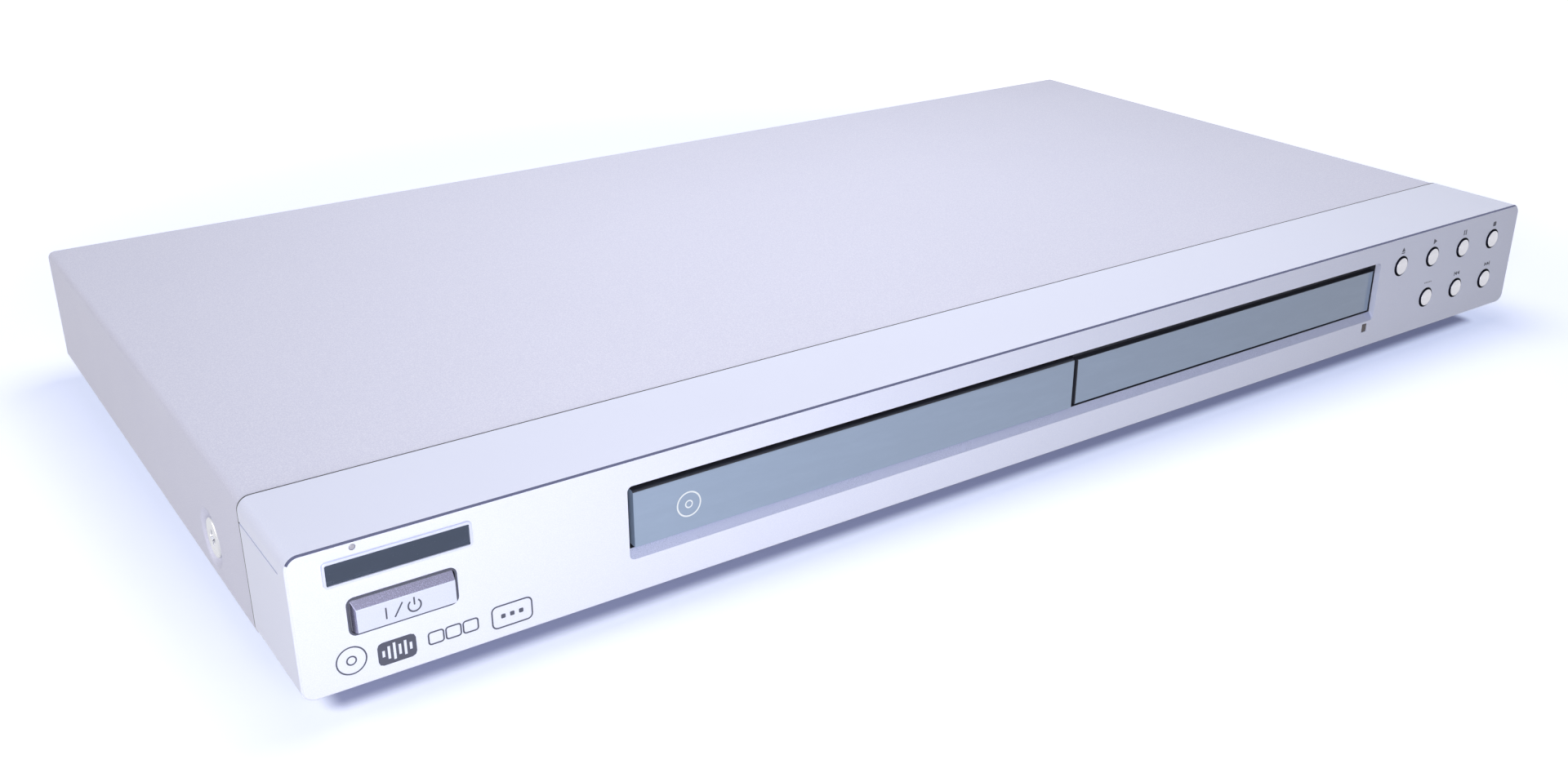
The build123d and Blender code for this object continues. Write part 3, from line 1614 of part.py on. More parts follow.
def heat_sink():
    """A finned aluminium strip."""
    x = power_board_left + heat_sink_inset
    front = power_board_front + heat_sink_inset
    tall = (board_top, board_top + heat_sink_height)
    sink = block(x, x + heat_sink_base, front, front + heat_sink_length, *tall)
    pitch = (heat_sink_length - heat_sink_fin) / (heat_sink_fins - 1)
    for n in range(heat_sink_fins):
        fin = front + n * pitch
        sink += block(x, x + heat_sink_base + heat_sink_reach, fin, fin + heat_sink_fin, *tall)
    return sink


def jack_blocks():
    """The moulded bodies of the phono sockets, with a ring and a bored core for each."""
    back = rear_panel_y - sheet
    depth = (back - jack_block_depth, back)
    grid_top = jack_upper_z + jack_margin
    single_top = jack_lower_z + jack_margin
    single_x = (digital_jack_x - jack_margin, digital_jack_x + jack_margin)
    grid = block(jack_left_x - jack_margin, jack_right_x + jack_margin, *depth, board_top, grid_top)
    single = block(*single_x, *depth, board_top, single_top)
    core = jack_radius - jack_wall
    end = case_depth + jack_reach
    for x, z in socket_places():
        body = backward_rod(x, z, jack_ring_radius, back - 0.1, rear_panel_y + jack_ring_reach)
        body += backward_rod(x, z, core, back - 0.1, end - 0.4)
        body -= backward_rod(x, z, jack_bore_radius, end - jack_bore_depth, end + 1)
        if x == digital_jack_x:
            single += body
        else:
            grid += body
    return [grid, single]


def jack_barrels():
    """The metal barrel of each phono socket."""
    barrels = []
    for x, z in socket_places():
        ring = Pos(x, z) * (Circle(jack_radius) - Circle(jack_radius - jack_wall))
        barrels.append(backwards(ring, rear_panel_y + jack_ring_reach, case_depth + jack_reach))
    return barrels


def s_video_socket():
    """A round socket with a blind bore and the plug's key in it."""
    back = rear_panel_y - sheet
    end = rear_panel_y + s_video_reach
    wide = (s_video_x - jack_margin, s_video_x + jack_margin)
    body = block(*wide, back - jack_block_depth, back, board_top, jack_upper_z + jack_margin)
    body += backward_rod(s_video_x, jack_upper_z, s_video_radius, back - 0.1, end)
    body -= backward_rod(s_video_x, jack_upper_z, s_video_bore_radius, end - s_video_bore_depth, end + 1)
    key = Pos(s_video_x, jack_upper_z - 2.1) * Rectangle(2.6, 1.0)
    return body + backwards(key, end - s_video_bore_depth - 0.1, end - 0.8)


def mains_inlet():
    """The figure-of-eight inlet: a flanged body with a socket of two joined round bores."""
    back = rear_panel_y - sheet
    place = Pos(mains_x, mains_z)
    neck = RectangleRounded(mains_width - 2 * mains_lip, mains_tall - 2 * mains_lip, 1.0)
    body = backwards(place * neck, back - 0.1, rear_panel_y)
    flange = RectangleRounded(mains_width, mains_tall, 2.0)
    body += backwards(place * flange, rear_panel_y, mains_face)
    wide = (mains_x - mains_width / 2, mains_x + mains_width / 2)
    body += block(*wide, back - mains_body_depth, back, board_top, mains_z + mains_tall / 2)
    half = mains_pin_spacing / 2
    mouth = Rectangle(mains_pin_spacing, 2 * mains_socket_radius - 1.6)
    for side in (-1, 1):
        mouth += Pos(side * half, 0) * Circle(mains_socket_radius)
    floor = mains_face - mains_socket_depth
    body -= backwards(place * mouth, floor, mains_face + 1)
    for side in (-1, 1):
        body -= backward_rod(
            mains_x + side * half, mains_z, mains_pin_radius, floor - mains_pin_root, mains_face,
        )
    return body


def mains_pins():
    """The two round pins of the mains inlet."""
    root = mains_face - mains_socket_depth - mains_pin_root
    pins = []
    for side in (-1, 1):
        x = mains_x + side * mains_pin_spacing / 2
        pin = backward_rod(x, mains_z, mains_pin_radius, root, mains_face - mains_pin_short)
        pins.append(chamfer(pin.edges().group_by(Axis.Y)[-1], 0.4))
    return pins


def save_all():
    """Build every sub-part and write it."""
    os.makedirs("parts", exist_ok=True)
    save("front_panel", front_panel())
    save("tray_door", tray_door())
    save("display_window", display_window())
    save("nameplate", nameplate())
    save("standby_light", standby_light())
    save("remote_eye", remote_eye())
    names = ("open_close", "play", "pause", "stop", "mode", "previous", "next")
    for name, (x, z) in zip(names, button_places()):
        save(f"{name}_button", round_button(x, z))
    save("power_button", power_button())
    save("front_board", front_board())
    save("display_module", display_module())
    save("tact_switches", *tact_switches())
    save("remote_receiver", remote_receiver())
    save("switch_board", switch_board())
    save("power_switch", power_switch())
    save("front_ribbon", front_ribbon())
    save("top_cover", top_cover())
    save("cover_side_screws", *side_screws())
    save("cover_rear_screws", *cover_rear_screws())
    save("base_pan", base_pan())
    save("rear_panel", rear_panel())
    save("rear_panel_screws", *panel_screws())
    save("feet", *feet())
    save("foot_screws", *foot_screws())
    save("loader_frame", loader_frame())
    save("loader_screws", *loader_screws())
    save("disc_tray", disc_tray())
    save("tray_drive_gear", tray_drive_gear())
    save("pulley_gear", pulley_gear())
    save("motor_pulley", motor_pulley())
    save("drive_belt", drive_belt())
    save("loading_motor", loading_motor())
    save("slide_cam", slide_cam())
    save("traverse_base", traverse_base())
    save("traverse_dampers", *traverse_dampers())
    save("spindle_motor", spindle_motor())
    save("turntable", turntable())
    save("guide_rods", *guide_rods())
    save("pickup_sled", pickup_sled())
    save("objective_lens", objective_lens())
    save("sled_motor", sled_motor())
    save("lead_screw", lead_screw())
    save("clamper_bridge", clamper_bridge())
    save("clamper", clamper())
    save("main_board", main_board())
    save("main_board_chips", *main_board_chips())
    save("power_board", power_board())
    save("transformer", transformer())
    save("power_capacitors", *power_capacitors())
    save("heat_sink", heat_sink())
    save("jack_blocks", *jack_blocks())
    save("jack_barrels", *jack_barrels())
    save("s_video_socket", s_video_socket())
    save("mains_inlet", mains_inlet())
    save("mains_pins", *mains_pins())


save_all()
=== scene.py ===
"""A slim disc player with a motor-driven tray: the pieces that show and the finish of each."""
import json
import math

import bmesh
import bpy
from bpy.props import FloatProperty, FloatVectorProperty, PointerProperty
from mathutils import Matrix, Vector


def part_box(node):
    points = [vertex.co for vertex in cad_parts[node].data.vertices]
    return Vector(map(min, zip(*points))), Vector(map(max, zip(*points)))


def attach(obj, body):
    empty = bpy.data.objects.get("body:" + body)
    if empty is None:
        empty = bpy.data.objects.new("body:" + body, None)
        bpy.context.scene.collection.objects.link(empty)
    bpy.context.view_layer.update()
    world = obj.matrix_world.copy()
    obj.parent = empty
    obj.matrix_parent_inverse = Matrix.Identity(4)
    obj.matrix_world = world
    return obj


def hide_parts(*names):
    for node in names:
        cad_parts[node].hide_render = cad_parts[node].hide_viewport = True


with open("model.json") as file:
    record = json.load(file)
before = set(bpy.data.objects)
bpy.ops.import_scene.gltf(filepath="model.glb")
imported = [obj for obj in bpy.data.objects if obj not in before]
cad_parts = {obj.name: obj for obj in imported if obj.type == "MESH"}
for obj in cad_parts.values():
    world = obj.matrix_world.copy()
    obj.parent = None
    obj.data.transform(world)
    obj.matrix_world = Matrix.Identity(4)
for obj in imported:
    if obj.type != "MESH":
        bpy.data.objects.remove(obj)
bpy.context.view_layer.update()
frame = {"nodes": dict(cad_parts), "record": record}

bl_info = {
    "name": "Disc player with tray",
    "version": (1, 0, 0),
    "blender": (4, 5, 0),
    "location": "View3D > Sidebar > Disc player",
    "description": "Models the visible pieces of a slim disc player and gives every piece its finish",
    "category": "Object",
}

MM = 0.001
MICRON = 0.000001
PANEL_LOW, PANEL_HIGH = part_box("front_panel")
COVER_LOW, COVER_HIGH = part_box("top_cover")
FACE = PANEL_LOW[1]
REAR = COVER_HIGH[1]
WHITE, BLACK = (1.0, 1.0, 1.0, 1.0), (0.0, 0.0, 0.0, 1.0)
ROUND_BUTTONS = ("open_close", "play", "pause", "stop", "mode", "previous", "next")

# Sizes that several pieces share
OVERCUT = 1 * MM  # how far a cutter reaches past what it cuts
FLANGE_GAP = 0.3 * MM  # between the panel's wall and a button's flange
FLANGE_THICK = 0.8 * MM
MOUTH_RIM = 0.4 * MM  # the countersink round a button's hole
POWER_RIM = 1.4 * MM  # how far the power button's flange stands out round its cap
POWER_CORNER = 1.3 * MM  # corners of the hole round the power button
EYE_RIM = (1 * MM, 0.6 * MM)  # how far the eye's flange stands out, across and up
LINE = 0.35 * MM  # a thin printed line


# --- Sizes and colours that a user would change ---
def length(name, description, default):
    """A length, with its default in millimetres."""
    return FloatProperty(
        name=name, description=description, default=default * MM, unit="LENGTH", precision=5,
    )


def colour(name, description, default):
    return FloatVectorProperty(
        name=name, description=description, default=default, size=3, min=0.0, max=1.0, subtype="COLOR",
    )


class PlayerSizes(bpy.types.PropertyGroup):
    """Sizes of the modelled pieces, with defaults in millimetres."""
    panel_depth: length("Panel depth", "How far back the front panel runs", 32)
    panel_wall: length("Panel wall", "Thickness of the front panel", 2)
    panel_floor: length("Panel floor", "How far back the bottom wall of the panel runs", 14)
    panel_top_corner: length("Top corners", "Radius of the panel's top corners", 3.2)
    panel_low_corner: length("Bottom corners", "Radius of the panel's bottom corners", 3)
    panel_chamfer: length("Panel chamfer", "Chamfer round the face", 0.45)
    recess_foot: length("Recess foot", "Height of the foot of the recess's ledge", 16.7)
    recess_floor: length("Recess floor", "Height of the top of the ledge", 18.9)
    recess_top: length("Recess top", "Height of the recess's ceiling", 36.2)
    recess_left: length("Recess left", "Left end of the recess", -135.5)
    recess_right: length("Recess right", "Right end of the recess", 141)
    recess_corner: length("Recess corners", "Radius of the recess's corners", 1.4)
    collar_wall: length("Collar wall", "Thickness of the collar behind the recess", 1.5)
    collar_depth: length("Collar depth", "How far the collar runs behind the panel's wall", 2)
    button_radius: length("Button radius", "Radius of a round button", 2.8)
    button_hole: length("Button hole", "Radius of the hole round a button", 3.1)
    power_gap: length("Power button gap", "Gap round the power button", 0.4)
    power_slope: length("Power button slope", "Height of the power button's sloped top", 2.0)
    power_side_slope: length("Power button end slope", "Width of the slope at its left end", 0.8)
    seam_extra: length("Seam allowance", "Extra width of the visible seam behind the panel", 0.2)
    cover_sheet: length("Cover sheet", "Thickness of the cover's steel", 0.8)
    cover_bend: length("Cover bend", "Outer radius of the cover's bends", 2)
    dish_back: length("Dish place", "Dished screw seats, behind the face", 65)
    dish_height: length("Dish height", "Height of the dished seats above the floor", 17.5)
    dish_rim: length("Dish rim", "Radius of a dished seat's rim", 8)
    dish_floor: length("Dish floor", "Radius of a dished seat's floor", 5.9)
    dish_depth: length("Dish depth", "Depth of a dished seat", 1.6)
    screw_head: length("Side screw head", "Radius of a side screw's head", 5.2)
    ink: length("Ink", "How far printing stands on a face", 0.03)


class PlayerColours(bpy.types.PropertyGroup):
    """Base colours of the finishes, linear."""
    panel: colour("Panel", "Painted front panel", (0.68, 0.715, 0.89))
    cover: colour("Cover", "Painted steel cover", (0.60, 0.61, 0.76))
    smoked: colour("Smoked acrylic", "Tray door and display window", (0.255, 0.33, 0.46))
    plate: colour("Plate", "Field of the nameplate", (0.035, 0.05, 0.085))
    ink: colour("Ink", "Printing on the face", (0.06, 0.065, 0.10))
    tray: colour("Tray", "Moulded disc tray", (0.035, 0.037, 0.045))
    floor: colour("Floor", "Floor, as it lights the player", (0.58, 0.58, 0.61))
    floor_lit: colour("Floor light", "The floor's white that shadows take away", (0.80, 0.77, 0.70))
    floor_glow: colour("Floor glow", "The floor's white that stays in shadows", (0.36, 0.43, 0.66))
    # Painted shadow: the floor's tones right under the player.
    painted_shadow_lit: colour("Underside light", "Floor light under the player", (0.30, 0.32, 0.46))
    painted_shadow_glow: colour("Underside glow", "Floor glow under the player", (0.05, 0.06, 0.12))


# --- Modelling ---
def rest():
    """Leaves edit mode with nothing selected."""
    if bpy.context.object is not None and bpy.context.object.mode != "OBJECT":
        bpy.ops.object.mode_set(mode="OBJECT")
    bpy.ops.object.select_all(action="DESELECT")


def hold(piece):
    """Makes one piece the only selected object and the active one."""
    rest()
    piece.select_set(True)
    bpy.context.view_layer.objects.active = piece


def settle(piece, name):
    """Names a new primitive and puts its place, turn and scale into its mesh."""
    hold(piece)
    bpy.ops.object.transform_apply(location=True, rotation=True, scale=True)
    piece.name = name
    piece.data.name = name
    return piece


def halfway(low, high):
    """The point midway between two corners."""
    return tuple((a + b) / 2 for a, b in zip(low, high))


def block(name, low, high):
    """A box primitive between two corners."""
    rest()
    size = [b - a for a, b in zip(low, high)]
    bpy.ops.mesh.primitive_cube_add(size=1.0, location=halfway(low, high), scale=size)
    return settle(bpy.context.object, name)


def rod(name, middle, radius, depth, axis, sides=48, tip=None):
    """A round primitive about an axis, tapered to a tip's radius at the axis's positive end."""
    rest()
    turn = {"X": (0, math.pi / 2, 0), "Y": (-math.pi / 2, 0, 0), "Z": (0, 0, 0)}[axis]
    if tip is None:
        bpy.ops.mesh.primitive_cylinder_add(
            vertices=sides, radius=radius, depth=depth, end_fill_type="NGON", location=middle, rotation=turn,
        )
    else:
        bpy.ops.mesh.primitive_cone_add(
            vertices=sides, radius1=radius, radius2=tip, depth=depth, end_fill_type="NGON",
            location=middle, rotation=turn,
        )
    return settle(bpy.context.object, name)


def pick(piece, kind, test):
    """In edit mode, selects only the vertices, edges or faces that pass a test."""
    hold(piece)
    bpy.ops.object.mode_set(mode="EDIT")
    bpy.context.tool_settings.mesh_select_mode = [kind == mode for mode in ("VERT", "EDGE", "FACE")]
    bpy.ops.mesh.select_all(action="DESELECT")
    shape = bmesh.from_edit_mesh(piece.data)
    shape.normal_update()
    parts = {"VERT": shape.verts, "EDGE": shape.edges, "FACE": shape.faces}[kind]
    chosen = [part for part in parts if test(part)]
    if not chosen:
        raise RuntimeError(f"nothing to select on {piece.name}")
    for part in chosen:
        part.select_set(True)
    if kind == "VERT":
        shape.select_flush(True)
    bmesh.update_edit_mesh(piece.data)


def runs(edge, axis):
    """Whether an edge runs along an axis, 0 to 2."""
    step = edge.verts[1].co - edge.verts[0].co
    return abs(step[axis]) > 0.999 * step.length


def middle_of(edge):
    return (edge.verts[0].co + edge.verts[1].co) / 2


def at(value, place):
    return abs(value - place) < 1e-5


def bevel(width, segments=1):
    bpy.ops.mesh.bevel(
        offset=width, offset_type="OFFSET", segments=segments, profile=0.5,
        affect="EDGES", clamp_overlap=True,
    )


def bevel_rim(piece, axis, place, width, segments=1):
    """Bevels the edges that lie across an axis, 0 to 2, at a place on it."""
    pick(piece, "EDGE", lambda e: all(at(v.co[axis], place) for v in e.verts))
    bevel(width, segments)
    rest()


def round_corners(piece, axis, radius, segments, test=None):
    """Rounds the edges of a box that run along one axis."""
    pick(piece, "EDGE", lambda e: runs(e, axis) and (test is None or test(middle_of(e))))
    bevel(radius, segments)
    rest()


def extrude(step):
    bpy.ops.mesh.extrude_region_move(TRANSFORM_OT_translate={"value": step})


def resize(scale, centre):
    bpy.ops.transform.resize(value=scale, center_override=centre)


def apply(piece, name):
    hold(piece)
    bpy.ops.object.modifier_apply(modifier=name)


def cut(piece, other):
    """Cuts another piece out of this one and uses it up."""
    change = piece.modifiers.new("cut", "BOOLEAN")
    change.operation = "DIFFERENCE"
    change.solver = "EXACT"
    change.object = other
    apply(piece, "cut")
    bpy.data.objects.remove(other, do_unlink=True)


def join(name, pieces):
    """Makes several pieces one object."""
    rest()
    for piece in pieces:
        piece.select_set(True)
    bpy.context.view_layer.objects.active = pieces[0]
    if len(pieces) > 1:
        bpy.ops.object.join()
    pieces[0].name = name
    pieces[0].data.name = name
    return pieces[0]


def copy_to(piece, name, step):
    """A copy with its own mesh, moved by a step."""
    hold(piece)
    bpy.ops.object.duplicate(linked=False)
    bpy.ops.transform.translate(value=step)
    return settle(bpy.context.object, name)


def soften(piece, width, segments=2, angle=32.0):
    """Breaks the sharp edges and evens the shading of flats and rounds."""
    if width:
        edges = piece.modifiers.new("edges", "BEVEL")
        edges.width = width
        edges.segments = segments
        edges.limit_method = "ANGLE"
        edges.angle_limit = math.radians(angle)
        edges.miter_outer = "MITER_ARC"
        apply(piece, "edges")
    hold(piece)
    bpy.ops.object.shade_smooth_by_angle(angle=math.radians(40))
    evened = piece.modifiers.new("evened", "WEIGHTED_NORMAL")
    evened.keep_sharp = True
    evened.weight = 80
    apply(piece, "evened")


def merged_copy(node, name):
    """A copy of a CAD node's mesh with its triangles joined up."""
    rest()
    source = frame["nodes"][node]
    piece = bpy.data.objects.new(name, source.data.copy())
    bpy.context.scene.collection.objects.link(piece)
    hold(piece)
    bpy.ops.object.mode_set(mode="EDIT")
    bpy.ops.mesh.select_all(action="SELECT")
    bpy.ops.mesh.remove_doubles(threshold=2e-6)
    bpy.ops.mesh.dissolve_limited(angle_limit=math.radians(0.6), use_dissolve_boundaries=False)
    rest()
    return piece


def islands(node):
    """The lowest and highest corner of each separate solid of a CAD node."""
    shape = bmesh.new()
    shape.from_mesh(frame["nodes"][node].data)
    bmesh.ops.remove_doubles(shape, verts=shape.verts, dist=2e-6)
    left = set(shape.verts)
    boxes = []
    while left:
        reached = [left.pop()]
        found = list(reached)
        while reached:
            for edge in reached.pop().link_edges:
                for vertex in edge.verts:
                    if vertex in left:
                        left.remove(vertex)
                        reached.append(vertex)
                        found.append(vertex)
        low = Vector(min(v.co[i] for v in found) for i in range(3))
        high = Vector(max(v.co[i] for v in found) for i in range(3))
        boxes.append((low, high))
    shape.free()
    return sorted(boxes, key=lambda box: tuple(round(value, 5) for value in box[0]))


def middles(node):
    """The middle of each separate solid of a CAD node."""
    return [halfway(low, high) for low, high in islands(node)]


def hand_over(piece, body, finish_name, *nodes, slot=None):
    """Gives a finished piece its finish, its body and the CAD nodes that it stands for."""
    piece.data.materials.clear()
    piece.data.materials.append(bpy.data.materials[finish_name])
    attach(piece, body)
    if nodes:
        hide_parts(*nodes)
    rest()


def paint(piece, finish_name, test):
    """Gives the faces that pass a test a second finish."""
    piece.data.materials.append(bpy.data.materials[finish_name])
    index = len(piece.data.materials) - 1
    for face in piece.data.polygons:
        if test(face):
            face.material_index = index


# --- Shader groups ---
class Board:
    """A node tree with short calls for adding and wiring nodes."""

    def __init__(self, tree):
        self.tree = tree

    def node(self, kind, **settings):
        made = self.tree.nodes.new(kind if kind.startswith("Node") else "ShaderNode" + kind)
        for key, value in settings.items():
            setattr(made, key, value)
        return made

    def wire(self, source, target):
        self.tree.links.new(source, target)

    def feed(self, made, **inputs):
        """Sets or wires inputs by name, with _ for a space, or by number, as in i0."""
        for key, value in inputs.items():
            numbered = key[0] == "i" and key[1:].isdigit()
            socket = made.inputs[int(key[1:]) if numbered else key.replace("_", " ")]
            if isinstance(value, bpy.types.NodeSocket):
                self.wire(value, socket)
            else:
                socket.default_value = value
        return made

    def math(self, operation, first, second=0.0, clamp=False):
        made = self.node("Math", operation=operation, use_clamp=clamp)
        return self.feed(made, i0=first, i1=second).outputs[0]

    def weigh(self, first, share, second, clamp=False):
        """A share of one value and the rest of another."""
        first = self.math("MULTIPLY", first, share)
        return self.math("ADD", first, self.math("MULTIPLY", second, 1 - share), clamp)

    def vector(self, operation, **inputs):
        made = self.feed(self.node("VectorMath", operation=operation), **inputs)
        return made.outputs["Value" if operation == "LENGTH" else "Vector"]

    def mix(self, factor, first, second, blend="MIX"):
        made = self.node("Mix", data_type="RGBA", blend_type=blend)
        return self.feed(made, i0=factor, i6=first, i7=second).outputs[2]

    def noise(self, vector, scale, detail=2.0, rough=0.5):
        made = self.node("TexNoise")
        return self.feed(made, Vector=vector, Scale=scale, Detail=detail, Roughness=rough).outputs["Fac"]

    def stretch(self, vector, **settings):
        return self.feed(self.node("Mapping"), Vector=vector, **settings).outputs[0]

    def ramp(self, value, low, high, **settings):
        """Stretches low..high of a value to 0..1."""
        made = self.node("MapRange", **settings)
        return self.feed(made, i0=value, i1=low, i2=high).outputs[0]


def start_group(name, numbers):
    """A shader group with two colours and some numbers in, and a colour, a roughness and a height out."""
    group = bpy.data.node_groups.new(name, "ShaderNodeTree")
    inputs = [("Colour", "Color", (0.5, 0.5, 0.5, 1.0)), ("Second colour", "Color", (0.4, 0.4, 0.4, 1.0))]
    inputs += [(label, "Float", start) for label, start in numbers]
    for label, kind, start in inputs:
        socket = group.interface.new_socket(label, in_out="INPUT", socket_type="NodeSocket" + kind)
        socket.default_value = start
    for label, kind in (("Colour", "Color"), ("Roughness", "Float"), ("Height", "Float")):
        group.interface.new_socket(label, in_out="OUTPUT", socket_type="NodeSocket" + kind)
    board = Board(group)
    source = board.node("NodeGroupInput").outputs
    sink = board.node("NodeGroupOutput").inputs
    place = board.node("TexCoord").outputs["Object"]
    return board, source, sink, place


def end_group(board, source, sink, tone, height):
    """Blends the group's colours by a tone, which is its roughness too, and sends its height out."""
    share = board.math("MULTIPLY", tone, source["Contrast"])
    board.wire(board.mix(share, source["Colour"], source["Second colour"]), sink["Colour"])
    board.wire(tone, sink["Roughness"])
    board.wire(height, sink["Height"])


def make_metal_flake():
    """Metallic paint: fine bright flecks in a tone that drifts a little."""
    numbers = (("Fleck size", 7000.0), ("Flecks", 0.3), ("Drift", 0.1))
    board, source, sink, place = start_group("metal_flake", numbers)
    fleck = board.ramp(board.noise(place, source["Fleck size"], 1.0), 0.42, 0.68)
    drift = board.ramp(board.noise(place, 9.0, 3.0), 0.3, 0.7)
    share = board.math("MULTIPLY", drift, source["Drift"])
    toned = board.mix(share, source["Colour"], source["Second colour"])
    share = board.math("MULTIPLY", fleck, source["Flecks"])
    board.wire(board.mix(share, toned, WHITE, "SOFT_LIGHT"), sink["Colour"])
    smear = board.ramp(board.noise(place, 38.0, 4.0, 0.6), 0.35, 0.75)
    board.wire(board.weigh(fleck, 0.5, smear), sink["Roughness"])
    board.wire(fleck, sink["Height"])


def make_moulded_grain():
    """Moulded plastic: a fine spark-eroded grain and faint flow marks."""
    numbers = (("Grain size", 2600.0), ("Contrast", 0.5))
    board, source, sink, place = start_group("moulded_grain", numbers)
    grain = board.noise(place, source["Grain size"], 2.0)
    flow = board.ramp(board.noise(place, 26.0, 3.0, 0.6), 0.35, 0.7)
    end_group(board, source, sink, board.weigh(grain, 0.5, flow), grain)


def make_plated_sheet():
    """Plated steel: large soft crystals and a fine rolled grain."""
    numbers = (("Crystal size", 150.0), ("Contrast", 0.5))
    board, source, sink, place = start_group("plated_sheet", numbers)
    cells = board.node("TexVoronoi", feature="F1")
    board.feed(cells, Vector=place, Scale=source["Crystal size"], Randomness=1.0)
    crystal = board.feed(board.node("SeparateColor"), i0=cells.outputs["Color"]).outputs[0]
    rolled = board.noise(board.stretch(place, Scale=(1.0, 24.0, 24.0)), 90.0, 4.0, 0.6)
    end_group(board, source, sink, board.weigh(crystal, 0.55, rolled), rolled)


def make_turned_metal():
    """Turned or drawn metal: fine rings and lines."""
    numbers = (("Line size", 5200.0), ("Contrast", 0.5))
    board, source, sink, place = start_group("turned_metal", numbers)
    lines = board.noise(board.stretch(place, Scale=(1.0, 0.12, 1.0)), source["Line size"], 2.0)
    stain = board.ramp(board.noise(place, 240.0, 3.0), 0.35, 0.7)
    end_group(board, source, sink, board.weigh(lines, 0.6, stain), lines)


def make_handled_gloss():
    """Polished acrylic: a smooth face with faint wipe marks and dust."""
    numbers = (("Dust size", 2400.0), ("Contrast", 0.4))
    board, source, sink, place = start_group("handled_gloss", numbers)
    wiped = board.stretch(place, Rotation=(0.0, 0.4, 0.0), Scale=(1.0, 1.0, 5.0))
    wipe = board.ramp(board.noise(wiped, 60.0, 5.0, 0.65), 0.45, 0.8)
    dust = board.ramp(board.noise(place, source["Dust size"], 1.0), 0.7, 0.8)
    end_group(board, source, sink, board.weigh(wipe, 0.7, dust, clamp=True), dust)


def make_circuit_tracks():
    """A circuit board: square-cornered copper tracks under lacquer, and solder pads."""
    numbers = (("Track size", 420.0), ("Contrast", 0.6))
    board, source, sink, place = start_group("circuit_tracks", numbers)
    cells = board.node("TexVoronoi", feature="DISTANCE_TO_EDGE")
    board.feed(cells, Vector=place, Scale=source["Track size"], Randomness=0.55)
    gaps = board.ramp(cells.outputs["Distance"], 0.05, 0.11)
    pads = board.node("TexVoronoi", feature="F1", distance="CHEBYCHEV")
    board.feed(pads, Vector=place, Scale=source["Track size"], Randomness=0.15)
    pad = board.math("LESS_THAN", pads.outputs["Distance"], 0.14)
    share = board.math("MULTIPLY", gaps, source["Contrast"])
    lacquer = board.mix(share, source["Colour"], source["Second colour"])
    board.wire(board.mix(pad, lacquer, (0.62, 0.62, 0.60, 1.0)), sink["Colour"])
    board.wire(board.math("SUBTRACT", 1.0, pad), sink["Roughness"])
    board.wire(board.math("MAXIMUM", gaps, pad), sink["Height"])


def make_striped_tape():
    """Parallel conductors seen through a flat cable or a wound tape."""
    numbers = (("Stripe size", 500.0), ("Contrast", 0.5))
    board, source, sink, place = start_group("striped_tape", numbers)
    waves = board.node("TexWave", wave_type="BANDS", bands_direction="X")
    board.feed(waves, Vector=place, Scale=source["Stripe size"])
    stripe = board.ramp(waves.outputs["Fac"], 0.3, 0.6)
    share = board.math("MULTIPLY", stripe, source["Contrast"])
    board.wire(board.mix(share, source["Colour"], source["Second colour"]), sink["Colour"])
    board.wire(board.noise(place, 800.0), sink["Roughness"])
    board.wire(stripe, sink["Height"])


